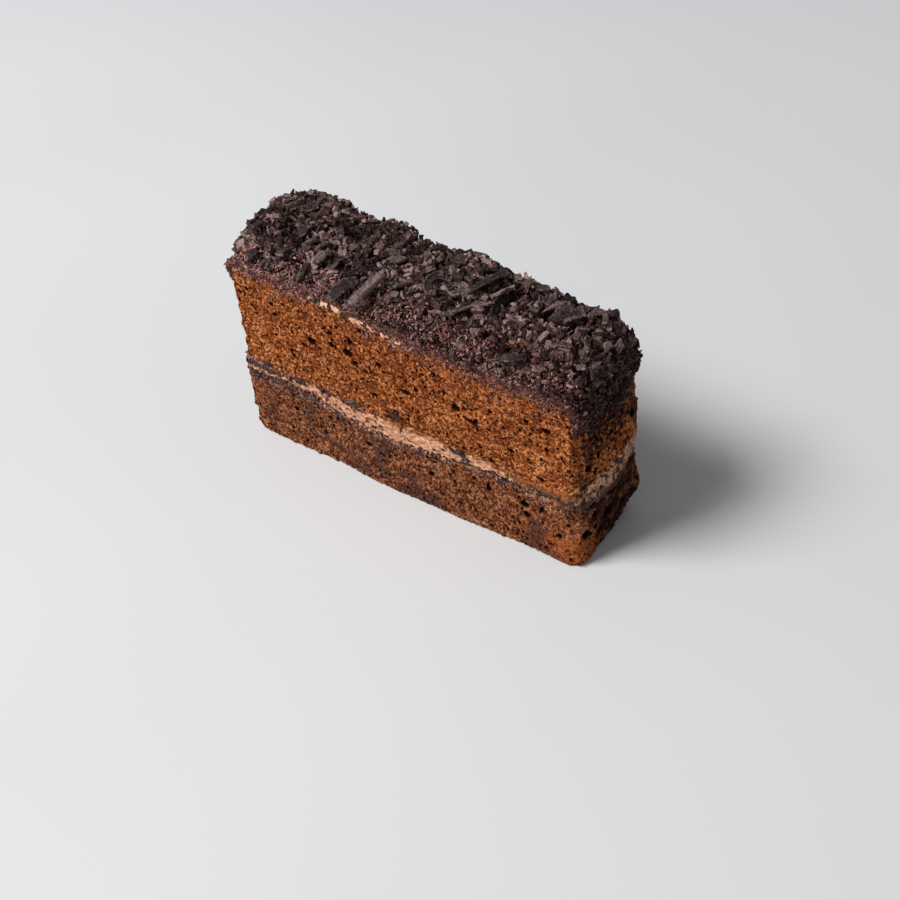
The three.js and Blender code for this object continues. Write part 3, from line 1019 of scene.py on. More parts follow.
@dataclass
class PieceShop:
    """Models the small pieces, about one millimetre across, that the heap is made of."""

    variants: int = 9
    seed: int = 7

    def model(self, kind: Piece) -> list[tuple[Array, Array]]:
        """Models every variant of a kind.

        Args:
            kind: which kind.

        Returns:
            For each variant its points, with a length of about 1, and its triangles.
        """
        random = np.random.default_rng(self.seed + len(kind.value))
        makers = {
            Piece.CRUMB: partial(self.block, side=0.8, push=0.2, breaks=2),
            Piece.LUMP: partial(self.block, side=1, push=0.26, breaks=3),
            Piece.SHRED: self.shred,
            Piece.CHIP: self.chip,
            Piece.CURL: self.curl,
        }
        made = []
        for _ in range(self.variants):
            obj = makers[kind](random)
            with editing(obj):
                bpy.ops.mesh.quads_convert_to_tris()
                bpy.ops.mesh.normals_make_consistent(inside=False)
            mesh = obj.data
            corners = np.zeros(len(mesh.polygons) * 3, np.int32)
            mesh.polygons.foreach_get("vertices", corners)
            made.append((read_points(mesh), corners.reshape(-1, 3)))
            bpy.data.objects.remove(obj)
            bpy.data.meshes.remove(mesh)
        return made

    @staticmethod
    def block(random: Random, side: float, push: float, breaks: int) -> Thing:
        """A crumb or broken lump: a block with its corners pushed about and faces broken off.

        Args:
            random: where the pushes and breaks come from.
            side: the block's side.
            push: how far a corner may be pushed.
            breaks: how many faces are broken off.

        Returns:
            The new object.
        """
        obj = primitive("cube", size=side)
        points = read_points(obj.data)
        write_points(obj.data, points + random.uniform(-push, push, points.shape))
        break_off(obj, random, breaks, (0.12, 0.34))
        return obj

    @staticmethod
    def shred(random: Random) -> Thing:
        """A grated shred: a thin bent three-sided rod in three lengths.

        Args:
            random: where its form comes from.

        Returns:
            The new object.
        """
        obj = primitive("cylinder", vertices=3, radius=0.5, depth=1, end_fill_type="NGON")
        write_points(obj.data, read_points(obj.data)[:, [2, 0, 1]])
        cut_along(obj, 0, 2)
        points = read_points(obj.data)
        taper = 1 - 0.45 * np.abs(2 * points[:, 0]) ** 3 * random.uniform(0.3, 1)
        points[:, 1] *= random.uniform(0.42, 0.66) * taper
        points[:, 2] *= random.uniform(0.34, 0.5) * taper
        PieceShop.bend(points, random.uniform(0.2, 2.0))
        write_points(obj.data, points + random.uniform(-0.06, 0.06, points.shape))
        return obj

    @staticmethod
    def chip(random: Random) -> Thing:
        """A chip: a thin plate with a broken outline of five to eight sides.

        Args:
            random: where its form comes from.

        Returns:
            The new object.
        """
        sides = int(random.integers(5, 9))
        obj = primitive("cylinder", vertices=sides, radius=0.5, depth=0.2, end_fill_type="NGON")
        points = read_points(obj.data)
        turn = np.round(np.arctan2(points[:, 1], points[:, 0]) * sides / (2 * math.pi)).astype(int) % sides
        points[:, :2] *= random.uniform(0.55, 1.2, sides)[turn][:, None] * np.array([1, 0.7])
        warp = random.uniform(-0.3, 0.4) * points[:, 0] ** 2
        points[:, 2] += warp + random.uniform(-0.04, 0.04, len(points))
        write_points(obj.data, points)
        return obj

    @staticmethod
    def curl(random: Random) -> Thing:
        """A curl: a thin strip rolled up along its length.

        Args:
            random: where its form comes from.

        Returns:
            The new object.
        """
        obj = primitive("cube", size=1)
        cut_along(obj, 0, 4)
        points = read_points(obj.data)
        width = random.uniform(0.26, 0.5)
        points[:, 1] *= width * (1 - 0.5 * (2 * points[:, 0]) ** 4 * random.uniform(0.3, 1))
        points[:, 2] *= 0.22
        PieceShop.bend(points, random.uniform(1.6, 3.6))
        write_points(obj.data, points + random.uniform(-0.03, 0.03, points.shape))
        return obj

    @staticmethod
    def bend(points: Array, angle: float) -> None:
        """Bends points that run along X from -0.5 to 0.5 into an arc.

        Args:
            points: are changed.
            angle: the arc's, in radians.
        """
        radius = 1 / angle
        turn = points[:, 0] * angle
        reach = radius + points[:, 2]
        points[:, 0] = reach * np.sin(turn)
        points[:, 2] = reach * np.cos(turn) - radius * math.cos(angle / 4)


def break_off(
    obj: Thing, random: Random, faces: int, reach: tuple[float, float], squash: float = 1
) -> None:
    """Breaks flat faces off a piece.

    Args:
        obj: the piece, about one unit across.
        random: where the breaks' directions come from.
        faces: how many breaks there are.
        reach: the least and greatest distance of a break from the middle.
        squash: flattens the breaks' directions; a small number breaks a plate's rim only.
    """
    for _ in range(faces):
        square = unit(random.normal(0, 1, 3) * (1, 1, squash))
        place = tuple(square * random.uniform(*reach))
        with editing(obj):
            bpy.ops.mesh.bisect(plane_co=place, plane_no=tuple(square), use_fill=True, clear_outer=True)


def joined_copies(
    name: str, shapes: Sequence[tuple[Array, Array]], picks: Array, frames: Array, places: Array,
    shades: Array,
) -> Thing:
    """Copies small shapes to many places as one mesh.

    Args:
        name: the piece's name.
        shapes: points and triangles of each variant.
        picks: which variant each copy is.
        frames: for each copy, the three directions, with their sizes in millimetres, as rows.
        places: for each copy, its place in millimetres.
        shades: for each copy, how light it is, from 0 to 1.

    Returns:
        The new object.
    """
    all_points, all_corners, all_shades, start = [], [], [], 0
    for number, (points, corners) in enumerate(shapes):
        mine = np.flatnonzero(picks == number)
        moved = np.einsum("pk,nkj->npj", points, frames[mine]) + places[mine][:, None]
        all_points.append(moved.reshape(-1, 3))
        offsets = start + np.arange(len(mine)) * len(points)
        all_corners.append((corners[None] + offsets[:, None, None]).reshape(-1, 3))
        all_shades.append(np.repeat(shades[mine], len(points)))
        start += len(mine) * len(points)
    points, corners = np.concatenate(all_points), np.concatenate(all_corners)
    mesh = bpy.data.meshes.new(name)
    mesh.vertices.add(len(points))
    mesh.loops.add(corners.size)
    mesh.polygons.add(len(corners))
    mesh.loops.foreach_set("vertex_index", corners.ravel().astype(np.int32))
    mesh.polygons.foreach_set("loop_start", np.arange(0, corners.size, 3, dtype=np.int32))
    write_points(mesh, points * MM)
    mesh.update(calc_edges=True)
    mesh.validate()
    mesh.shade_flat()
    note(mesh, "shade", np.concatenate(all_shades))
    obj = bpy.data.objects.new(name, mesh)
    bpy.context.scene.collection.objects.link(obj)
    return obj


def turned(random: Random, out: Array, along: Array, tip: float) -> Array:
    """Random frames that lie on a surface.

    Args:
        random: where the turns come from.
        out: the surface's outward directions, one row each.
        along: directions in the surface.
        tip: how far each piece may be tipped out of the surface, in radians.

    Returns:
        For each piece three unit directions as rows: its length, its width and its thickness.
    """
    count = len(out)
    over = np.cross(out, along)
    turn = random.uniform(0, 2 * math.pi, count)[:, None]
    length = along * np.cos(turn) + over * np.sin(turn)
    width = over * np.cos(turn) - along * np.sin(turn)
    tilt = (random.uniform(-1, 1, count) * tip)[:, None]
    roll = (random.uniform(-1, 1, count) * tip)[:, None]
    length, up = length * np.cos(tilt) + out * np.sin(tilt), out * np.cos(tilt) - length * np.sin(tilt)
    width, up = width * np.cos(roll) + up * np.sin(roll), up * np.cos(roll) - width * np.sin(roll)
    return np.stack([length, width, up], 1)


@dataclass(frozen=True)
class Strewing:
    """One kind of piece as it is strewn: how many, how large and where it gathers.

    size gives the smallest and largest length, squat the width and thickness as shares of it, and
    tip how far pieces stand up, in radians. front, middle, far and narrow_end weigh the places. late
    is how much later than the others they are dropped, from 0 to 1, which leaves them on top.
    """

    name: str
    kind: Piece
    count: int
    size: tuple[float, float]
    squat: tuple[float, float]
    tip: float
    front: float
    middle: float
    far: float
    narrow_end: float
    shade: tuple[float, float] = (0.2, 0.9)
    late: float = 0


@dataclass
class CrumbHeap:
    """The loose pieces of the topping, dropped one by one so that each rests on those before it."""

    bed: ToppingBed
    shop: PieceShop
    strewings: tuple[Strewing, ...]
    seed: int = 19

    @cached_property
    def across(self) -> Array:
        """The places across of the grid's columns, from rim to rim."""
        return np.linspace(-1, 1, self.bed.steps[1])

    def weights(self, strewing: Strewing) -> Array:
        """How likely a piece is to land at each place of the bed's grid.

        Args:
            strewing: the kind of piece.

        Returns:
            A number for each place, more where more pieces land.
        """
        points, _, _, area = self.bed.table
        across = self.across[None]
        weighed = (strewing.front, strewing.front, strewing.middle, strewing.far, strewing.far)
        place = np.interp(across, (-1, -0.72, -0.4, 0.3, 1), weighed)
        place = place * mix(1, strewing.narrow_end, smooth(points[..., 0], 0, 14))
        place = place * (0.75 + 0.55 * grain(points, 5.5, len(strewing.name)))
        clean = self.bed.form.clean_stretch(self.bed.grid[0], across)
        return area * place * (1 - 0.8 * clean * smooth(-across, 0.95, 0.99))

    def strew(self) -> list[Thing]:
        """Drops all the pieces and makes one mesh for each kind.

        Returns:
            The new objects, in the order of the strewings.
        """
        random = np.random.default_rng(self.seed)
        area = self.bed.table[3]
        cell = math.sqrt(float(area.mean()))
        which, spots, sizes = [], [], []
        for number, strewing in enumerate(self.strewings):
            chances = self.weights(strewing).ravel()
            count = strewing.count
            spots.append(random.choice(chances.size, count, p=chances / chances.sum()))
            which.append(np.full(count, number))
            sizes.append(mix(*strewing.size, random.uniform(0, 1, count) ** 1.6))
        which, spots, sizes = np.concatenate(which), np.concatenate(spots), np.concatenate(sizes)
        thin = smooth(self.bed.depth_along(self.bed.grid[0][:, 0]), 0.8, 5)
        rim = smooth(np.minimum(self.across + 1, 1 - self.across), 0, 0.5)
        rows, cols = np.unravel_index(spots, area.shape)
        sizes = sizes * mix(0.5, 1, thin[rows] * rim[cols])
        heights = self.settle(random, which, rows, cols, sizes, cell)
        jitter = random.uniform(-0.5, 0.5, (len(spots), 2)) * cell
        made = []
        for number, strewing in enumerate(self.strewings):
            mine = np.flatnonzero(which == number)
            dropped = (values[mine] for values in (rows, cols, heights, sizes, jitter))
            made.append(self.lay_kind(random, strewing, *dropped))
            log.info("%s: %d pieces", strewing.name, len(mine))
        return made

    def lay_kind(
        self, random: Random, strewing: Strewing, rows: Array, cols: Array, heights: Array, sizes: Array,
        jitter: Array,
    ) -> Thing:
        """Lays the pieces of one kind in their places, turned at random.

        Args:
            random: where the turns, proportions and shades come from.
            strewing: the kind of piece.
            rows: each piece's place along, on the bed's grid.
            cols: its place across.
            heights: how high above the bed it lies.
            sizes: its length in millimetres.
            jitter: how far it is moved along and across, in millimetres.

        Returns:
            The new object.
        """
        points, out, along, _ = (values[rows, cols] for values in self.bed.table)
        place = points + along * jitter[:, :1] + np.cross(out, along) * jitter[:, 1:] + out * heights[:, None]
        frames = turned(random, out, along, strewing.tip)
        squat = np.array([1, *strewing.squat]) * random.uniform(0.8, 1.25, (len(rows), 3)) * sizes[:, None]
        across = self.across[cols]
        shades = random.uniform(*strewing.shade, len(rows))
        shades += 0.18 * smooth(across, -0.3, -0.8) * smooth(place[:, 0], 10, -20)
        # Painted shade: pieces lying deep in the heap, pieces in the gaps between clumps and pieces at the
        # narrow end are made darker.
        buried_shade = smooth(self.pile[rows, cols] - heights, 0.15, 1.0)
        shades *= 1 - buried_shade * mix(0.4, 0.9, smooth(across, -0.75, -0.4))
        gap_shade = smooth(self.bed.clumping[rows, cols], 0.95, 0.6) * smooth(across, -0.85, -0.5)
        shades *= (1 - 0.65 * gap_shade) * (1 - 0.4 * smooth(place[:, 0], 50, 54))
        variants = self.shop.model(strewing.kind)
        picks = random.integers(0, len(variants), len(rows))
        return joined_copies(strewing.name, variants, picks, frames * squat[..., None], place, shades)

    def settle(
        self, random: Random, which: Array, rows: Array, cols: Array, sizes: Array, cell: float
    ) -> Array:
        """Finds how high above the bed each piece comes to rest.

        Args:
            random: where the order comes from.
            which: the kind of each piece.
            rows: its place along, on the bed's grid.
            cols: its place across.
            sizes: its length in millimetres.
            cell: the grid's spacing in millimetres.

        Returns:
            The height of each piece's middle above the bed, in millimetres.
        """
        pile = np.zeros(self.bed.steps)
        heights = np.zeros(len(which))
        flatness = np.array([s.squat[1] * (0.5 if s.kind is Piece.SHRED else 1) for s in self.strewings])
        late = np.array([s.late for s in self.strewings])
        for i in np.argsort(random.uniform(0, 1, len(which)) + late[which]):
            reach = max(1, int(round(0.32 * sizes[i] / cell)))
            r0, r1 = max(rows[i] - reach, 0), rows[i] + reach + 1
            c0, c1 = max(cols[i] - reach, 0), cols[i] + reach + 1
            patch = pile[r0:r1, c0:c1]
            thick = sizes[i] * flatness[which[i]]
            rest = 0.85 * patch.mean() + 0.15 * patch.max() + 0.12 * thick
            heights[i] = rest
            np.maximum(patch, rest + 0.2 * thick, out=patch)
        room = self.bed.loose_depth()
        self.pile = room * np.tanh(pile / room)
        log.info("heap: %.2f mm deep on average, %.2f at most", pile.mean(), pile.max())
        return room[rows, cols] * np.tanh(heights / room[rows, cols])

    def height_over(self, share: float, across: float, reach: float) -> float:
        """How high the pieces lie above the bed around a place.

        Args:
            share: the place's share of the crown's length.
            across: its place across, from -1 to 1.
            reach: how far around it counts, in millimetres.

        Returns:
            A height in millimetres.
        """
        rows, cols = self.pile.shape
        r, c = int(share * (rows - 1)), int((across + 1) / 2 * (cols - 1))
        near = max(2, int(reach / 0.22))
        patch = self.pile[max(r - near, 0) : r + near + 1, max(c - near, 0) : c + near + 1]
        return float(np.percentile(patch, 70))


class Shape(Enum):
    """The forms of the large shavings that are laid one by one."""

    STRIP = "strip"
    PLATE = "plate"
    LENS = "lens"
    RING = "ring"
    CHUNK = "chunk"


@dataclass(frozen=True)
class Shaving:
    """One large shaving as it is laid: its form, place, heading, length, width, bend and tips.

    heading is from +X towards +Y, bend arches it up along its length, sweep curves it to its right in
    its own plane, tip raises its far end and roll its left edge, all in degrees. lift raises it above
    what it rests on, in millimetres.
    """

    shape: Shape
    x: float
    y: float
    heading: float
    length: float
    width: float
    bend: float = 0
    tip: float = 0
    roll: float = 0
    lift: float = 0
    thickness: float = 1.0
    shade: float = 0.4
    sweep: float = 0


@dataclass
class Shavings:
    """The large shavings and broken pieces that lie on top of the heap."""

    heap: CrumbHeap
    laid: tuple[Shaving, ...]
    name: str = "large_shavings"
    seed: int = 53

    def build(self) -> Thing:
        """Models every shaving, lays it and joins them."""
        parts = [self.lay(shaving, number) for number, shaving in enumerate(self.laid)]
        return join_up(parts, self.name, 30)

    def lay(self, shaving: Shaving, number: int) -> Thing:
        """Models one shaving and puts it in its place on the heap.

        Args:
            shaving: what to make.
            number: its place in the list, which makes its edges its own.

        Returns:
            The new object.
        """
        obj = self.blank(shaving, number)
        plain = read_points(obj.data)
        rims = np.abs(plain[:, :2]).max(1) * 2 * (plain[:, 2] > 0)
        shaped = self.shape_round if shaving.shape in (Shape.LENS, Shape.CHUNK) else self.shape_flat
        points = shaped(plain, shaving, self.seed + 10 * number)
        bed = self.heap.bed
        share, across = bed.form.share_at(shaving.x), bed.form.across_at(shaving.x, shaving.y)
        ground, normal, _, _ = (values[bed.cell_of(share, across)] for values in bed.table)
        out = unit(normal * 0.6 + np.array([0, 0, 0.4]))
        turn = math.radians(shaving.heading)
        ahead = np.array([math.cos(turn), math.sin(turn), 0])
        ahead = unit(ahead - out * (ahead @ out))
        level = Matrix(np.stack([ahead, np.cross(out, ahead), out], 1).tolist())
        tip, roll = math.radians(-shaving.tip), math.radians(shaving.roll)
        stance = level @ (Matrix.Rotation(tip, 3, "Y") @ Matrix.Rotation(roll, 3, "X"))
        moved = points @ np.array(stance.transposed())
        rest = self.heap.height_over(share, across, 0.35 * shaving.width)
        place = ground + out * (rest + 0.35 * shaving.thickness + shaving.lift)
        write_points(obj.data, (moved + place) * MM)
        # Painted highlight: each shaving's upper rims are made lighter.
        edges = 0.35 * smooth(rims, 0.82, 1) - 0.1
        note(obj.data, "shade", shaving.shade + edges + 0.15 * grain(moved, 1.1, self.seed + number))
        return obj

    @staticmethod
    def blank(shaving: Shaving, number: int) -> Thing:
        """A plain block, ball or broken lump, cut finely enough to be shaped.

        Args:
            shaving: what it is for.
            number: makes its breaks its own.

        Returns:
            The new object, one unit across.
        """
        if shaving.shape is Shape.LENS:
            return primitive("ico_sphere", subdivisions=4, radius=0.5)
        obj = primitive("cube", size=1)
        if shaving.shape in (Shape.STRIP, Shape.RING):
            for axis, cuts in enumerate((27, 9, 2)):
                cut_along(obj, axis, cuts)
            return obj
        random = np.random.default_rng(900 + number)
        if shaving.shape is Shape.CHUNK:
            break_off(obj, random, 12, (0.26, 0.42))
        else:
            break_off(obj, random, 6, (0.32, 0.5), 0.12)
        with editing(obj):
            bpy.ops.mesh.quads_convert_to_tris()
            bpy.ops.mesh.subdivide(number_cuts=5)
        return obj

    @staticmethod
    def shape_flat(points: Array, shaving: Shaving, seed: int) -> Array:
        """Gives a strip or plate its outline, bend and broken edges.

        Args:
            points: the blank's points.
            shaving: what it becomes.
            seed: makes its edges its own.

        Returns:
            The points in millimetres.
        """
        length, width, thick = shaving.length, shaving.width, shaving.thickness
        ends = np.abs(points[:, 0] * 2) ** 8
        edge_out = np.clip(np.abs(points[:, 1]) * 2, 0, 1)
        moved = points * [length, width, thick]
        if shaving.shape is not Shape.PLATE:
            outline = (1 - 0.3 * ends) * (1 + 0.26 * grain(points * [9, 3, 0] + seed, 1, seed))
            moved[:, 1] *= outline
            moved[:, 2] *= 1 - 0.35 * edge_out**6 - 0.2 * ends
            moved[:, 0] = points[:, 0] * (length * (1 + 0.1 * grain(points * [0, 6, 2] + seed, 1, seed + 1)))
        moved[:, 2] += 0.08 * width * edge_out**2 * (1 if shaving.bend >= 0 else -1)
        bend = math.radians(max(abs(shaving.bend), 1))
        radius = length / bend
        turn, reach = moved[:, 0] / radius, radius + moved[:, 2]
        arch = reach * np.cos(turn) - radius * math.cos(bend / 2.6)
        bent = np.stack([reach * np.sin(turn), moved[:, 1], arch], 1)
        if shaving.sweep:
            swept = math.radians(shaving.sweep)
            radius = length / swept
            turn, reach = bent[:, 0] / radius, radius + bent[:, 1]
            aside = reach * np.cos(turn) - radius * math.cos(swept / 3)
            bent = np.stack([reach * np.sin(turn), aside, bent[:, 2]], 1)
        rough = 0.12 * grain(bent + seed, 1.3, seed + 2)
        grooved = grain(points * [length * 0.25, width, 0] + seed, 0.55, seed + 3)
        ridges = 0.2 * grooved * np.sign(points[:, 2])
        return bent + np.stack([rough * 0.6, rough * 0.8, rough + ridges], 1)

    @staticmethod
    def shape_round(points: Array, shaving: Shaving, seed: int) -> Array:
        """Gives a ball or broken lump the form of a smooth lens or of a chunk."""
        moved = points * [shaving.length, shaving.width, shaving.thickness * 1.5]
        sorts = ((0.1, 1.6), (0.04, 0.5)) if shaving.shape is Shape.LENS else ((0.55, 1.7), (0.34, 0.7))
        lumps = sum(high * grain(moved + seed, size, seed + k) for k, (high, size) in enumerate(sorts))
        return moved + unit(points) * lumps[:, None]


@dataclass(frozen=True)
class Smear:
    """A run of crumbs pressed into the flat cut side: from one place and height to another."""

    start: tuple[float, float]
    end: tuple[float, float]
    spread: float
    count: int
    size: tuple[float, float] = (0.5, 1.2)
    shade: float = 0.5


@dataclass(frozen=True)
class Flake:
    """A flake of dark chocolate on edge in the flat side: its place, height, length, depth and slant."""

    x: float
    z: float
    long: float
    deep: float
    slant: float = 0
    proud: float = 0.25


@dataclass
class StrayCrumbs:
    """Crumbs that cling to the cut sides, the ends and the bottom edge.

    reach is how far from front to back they may be, so that none leaves the slice's size.
    """

    heap: CrumbHeap
    smears: tuple[Smear, ...]
    laid: tuple[Flake, ...]
    reach: tuple[float, float] = (-19.7, 19.4)
    seed: int = 101

    @property
    def form(self) -> SliceForm:
        """The slice's form."""
        return self.heap.bed.form

    def on_side(self, x: Array, z: Array) -> Array:
        """Points of the flat cut side at places along and heights."""
        share = (x + self.form.half) / self.form.length
        return self.form.place(mix(-self.form.half, self.form.half, share), z, share * 2 - 1, -1)

    def on_end(self, share: Array, z: Array, along: int) -> Array:
        """Points of an end, which leans in where the crown rounds off."""
        lean = ((24, 50.8, 54), (0, 1.9, 3)) if along < 0 else ((24, 42, 47, 50), (0, 1.3, 1.7, 3.4))
        x = along * (self.form.half - np.interp(z, *lean))
        return self.form.place(x, z, along, share * 2 - 1)

    def in_cream(self) -> Thing:
        """Dark crumbs in runs along the filling and under the topping.

        Returns:
            The new object.
        """
        random = np.random.default_rng(self.seed)
        places, sizes, shades = [], [], []
        for smear in self.smears:
            t = random.uniform(0, 1, smear.count)
            x = mix(smear.start[0], smear.end[0], t)
            z = mix(smear.start[1], smear.end[1], t) + random.normal(0, smear.spread, smear.count)
            places.append(self.on_side(x, z))
            sizes.append(random.uniform(*smear.size, smear.count))
            shades.append(np.full(smear.count, smear.shade))
        places, sizes, shades = np.concatenate(places), np.concatenate(sizes), np.concatenate(shades)
        shades = shades + random.uniform(-0.3, 0.3, len(shades))
        out = np.tile([0.0, -1.0, 0.0], (len(places), 1))
        return self.stick("crumbs_in_cream", Piece.LUMP, places, out, sizes, shades)

    def flakes(self) -> Thing:
        """Models the flakes that the knife cut through and sets them into the cut side."""
        parts = [self.flake(flake, number) for number, flake in enumerate(self.laid)]
        return join_up(parts, "flakes_in_cream", 35)

    def flake(self, flake: Flake, number: int) -> Thing:
        """Models one flake: a ball squared off, flattened and made uneven.

        Args:
            flake: what to make.
            number: its place in the list, which makes its edges its own.

        Returns:
            The new object.
        """
        obj = primitive("ico_sphere", subdivisions=4, radius=0.5)
        points = read_points(obj.data)
        seed = self.seed + 7 * number
        sized = np.sign(points) * np.abs(points * 2) ** 0.7 / 2 * [flake.long, 1.6, flake.deep]
        sized[:, 2] *= 1 + 0.35 * grain(sized * [1, 0, 0] + seed, 1.3, seed)
        sized[:, 2] += 0.35 * flake.deep * grain(sized * [1, 0, 0] + seed, 2.2, seed + 1)
        sized += points * (0.35 * grain(sized + seed, 0.7, seed + 2))[:, None]
        turn = math.radians(-flake.slant)
        c, s = math.cos(turn), math.sin(turn)
        sized = sized @ np.array([[c, 0, s], [0, 1, 0], [-s, 0, c]])
        place = self.on_side(np.array([flake.x]), np.array([flake.z]))[0] - [0, flake.proud - 0.8, 0]
        write_points(obj.data, (sized + place) * MM)
        note(obj.data, "shade", 0.45 + 0.3 * grain(sized, 0.9, seed + 3))
        return obj

    def on_sides(self, count: int = 3600) -> Thing:
        """Chocolate crumbs under the topping's rim, on all sides, thinning out downwards.

        Args:
            count: how many there are, near enough.

        Returns:
            The new object.
        """
        random = np.random.default_rng(self.seed + 1)
        f = self.form
        parts = []
        for across, share_of_all in ((-1, 0.36), (1, 0.24)):
            n = int(count * share_of_all)
            share = random.uniform(0, 0.995, n)
            uneven = 1 + 0.9 * grain(np.stack([share * f.length, share * 0, share * 0], 1), 5.5, self.seed)
            hang = mix(1.2, 2.1, smooth(share, 0.5, 0.75)) if across < 0 else 1.7
            depth = 2.9 - random.exponential(1, n) * hang * uneven
            if across < 0:
                depth = self.clear_coat(share, depth, random)
            depth = np.where(depth > 0, depth * f.thin_corner(share, across), depth)
            section = f.above_crown(share, depth)
            stray = random.uniform(0, 1, n) < 0.03
            section[stray, 0] = mix(-f.half, f.half, 0.03 + 0.94 * share[stray])
            section[stray, 1] = random.uniform(4, 48, stray.sum())
            spot = f.place(section[:, 0], section[:, 1], share * 2 - 1, across)
            parts.append((spot, np.tile([0.0, across, 0.15], (n, 1))))
        for along, share_of_all, top in ((1, 0.28, 47.5), (-1, 0.1, 50.5)):
            n = int(count * share_of_all)
            share = random.uniform(0.16, 0.84, n)
            hang = np.interp(share, [0.16, 0.3, 1], [3.4, 4.2, 3.4]) if along > 0 else 1.2
            z = top - random.exponential(1, n) * hang
            spot = self.on_end(0.02 + 0.96 * share, np.maximum(z, 3), along)
            parts.append((spot, np.tile([along, 0.0, 0.2], (n, 1))))
        places, out = (np.concatenate(rows) for rows in zip(*parts))
        sizes = mix(0.5, 1.5, random.uniform(0, 1, len(places)) ** 2)
        # Painted shade: crumbs at the narrow end are made darker.
        shades = random.uniform(0.05, 0.55, len(places)) * mix(1, 0.3, smooth(places[:, 0], 42, 51))
        return self.stick("crumbs_on_sides", Piece.CRUMB, places, out, sizes, shades)

    def hanging_shreds(self, count: int = 4600) -> Thing:
        """Grated shreds that cover the coat on the cut side and at the narrow end.

        Args:
            count: how many there are.

        Returns:
            The new object.
        """
        random = np.random.default_rng(self.seed + 3)
        f = self.form
        ahead = int(count * 0.62)
        share = random.uniform(0, 0.995, ahead)
        wander = grain(np.stack([share * f.length, share * 0, share * 0], 1), 4, self.seed + 4)
        depth = self.clear_coat(share, 3.2 - random.exponential(1, ahead) * (1.6 + 0.8 * wander), random)
        depth = np.where(depth > 0, depth * f.thin_corner(share, -1), depth)
        over = random.uniform(0.04, 0.86, count - ahead)
        z = 48 - random.exponential(1, len(over)) * np.interp(over, [0, 0.1, 0.3, 1], [2.0, 3.0, 3.6, 2.8])
        at_end = self.on_end(0.02 + 0.96 * over, np.maximum(z, 30), 1)
        places = np.concatenate([f.over_crown(share, -1, depth), at_end])
        out = np.repeat([[0.0, -1.0, 0.3], [1.0, 0.0, 0.3]], (ahead, len(over)), axis=0)
        sizes = random.uniform(0.8, 1.9, count)
        # Painted shade: shreds at the narrow end are made darker.
        shades = random.uniform(0.1, 0.75, count) * mix(1, 0.3, smooth(places[:, 0], 42, 51))
        return self.stick("hanging_shreds", Piece.SHRED, places, out, sizes, shades)

    def clear_coat(self, share: Array, depth: Array, random: Random) -> Array:
        """Keeps most crumbs off the stretch of the coat that shows as clean cream."""
        x = self.form.crown.point_at(share)[:, 0]
        clean = (x > -27) & (x < -1) & (depth < 2.5) & (random.uniform(0, 1, len(x)) < 0.84)
        return np.where(clean, 2.5 + 0.35 * np.abs(depth) % 1.0, depth)

    def of_sponge(self, patches: Sequence[tuple[float, float, float, int]], at_foot: int = 150) -> Thing:
        """Sponge crumbs that hang from the slice's bottom edge and lie in patches on the topping.

        Args:
            patches: each patch's place along and across, its radius and its number of crumbs.
            at_foot: how many hang from the bottom edge.

        Returns:
            The new object.
        """
        random = np.random.default_rng(self.seed + 2)
        share = random.uniform(0.02, 0.98, at_foot)
        across = np.where(random.uniform(0, 1, at_foot) < 0.6, -1.0, 1.0)
        sizes = [mix(0.6, 1.3, random.uniform(0, 1, at_foot) ** 1.5)]
        x = mix(-self.form.half, self.form.half, share)
        places = [self.form.place(x, 0.15 + 0.6 * sizes[0], share * 2 - 1, across)]
        places[0][:, 1] += across * 0.45 * sizes[0]
        out = [np.stack([np.zeros(at_foot), across, np.zeros(at_foot)], 1)]
        bed = self.heap.bed
        for x, y, radius, number in patches:
            turn, reach = random.uniform(0, 2 * math.pi, number), radius * random.uniform(0, 1, number) ** 0.7
            near = np.array([x, y]) + np.stack([np.cos(turn), np.sin(turn)], 1) * reach[:, None]
            spots = [(bed.form.share_at(px), bed.form.across_at(px, py)) for px, py in near]
            cells = bed.cell_of(*np.transpose(spots))
            points, normals, _, _ = (values[cells] for values in bed.table)
            places.append(points + normals * (self.heap.pile[cells] + 0.35)[:, None])
            out.append(normals)
            sizes.append(random.uniform(0.5, 1.2, number))
        places, out, sizes = np.concatenate(places), np.concatenate(out), np.concatenate(sizes)
        return self.stick("sponge_crumbs", Piece.LUMP, places, out, sizes, np.full(len(sizes), 0.5))

    def stick(
        self, name: str, kind: Piece, places: Array, out: Array, sizes: Array, shades: Array
    ) -> Thing:
        """Sets crumbs half into a face.

        Args:
            name: the piece's name.
            kind: the kind of crumb.
            places: where, in millimetres.
            out: the face's outward directions.
            sizes: lengths in millimetres.
            shades: how light each is, from 0 to 1.

        Returns:
            The new object.
        """
        random = np.random.default_rng(self.seed + len(name))
        out = unit(out)
        frames = turned(random, out, unit(np.cross(out, np.array([0.0, 0.0, 1.0]))), 1.2)
        stretch = random.uniform(0.65, 1.1, (len(out), 3)) * sizes[:, None]
        variants = self.heap.shop.model(kind)
        picks = random.integers(0, len(variants), len(out))
        sunk = places - out * (0.1 + 0.22 * sizes)[:, None]
        sunk[:, 1] = np.clip(sunk[:, 1], self.reach[0] + sizes, self.reach[1] - sizes)
        sunk[:, 2] = np.maximum(sunk[:, 2], 0.86 * sizes)
        log.info("%s: %d pieces", name, len(sunk))
        frames = frames * stretch[..., None]
        return joined_copies(name, variants, picks, frames, sunk, np.clip(shades, 0, 1))


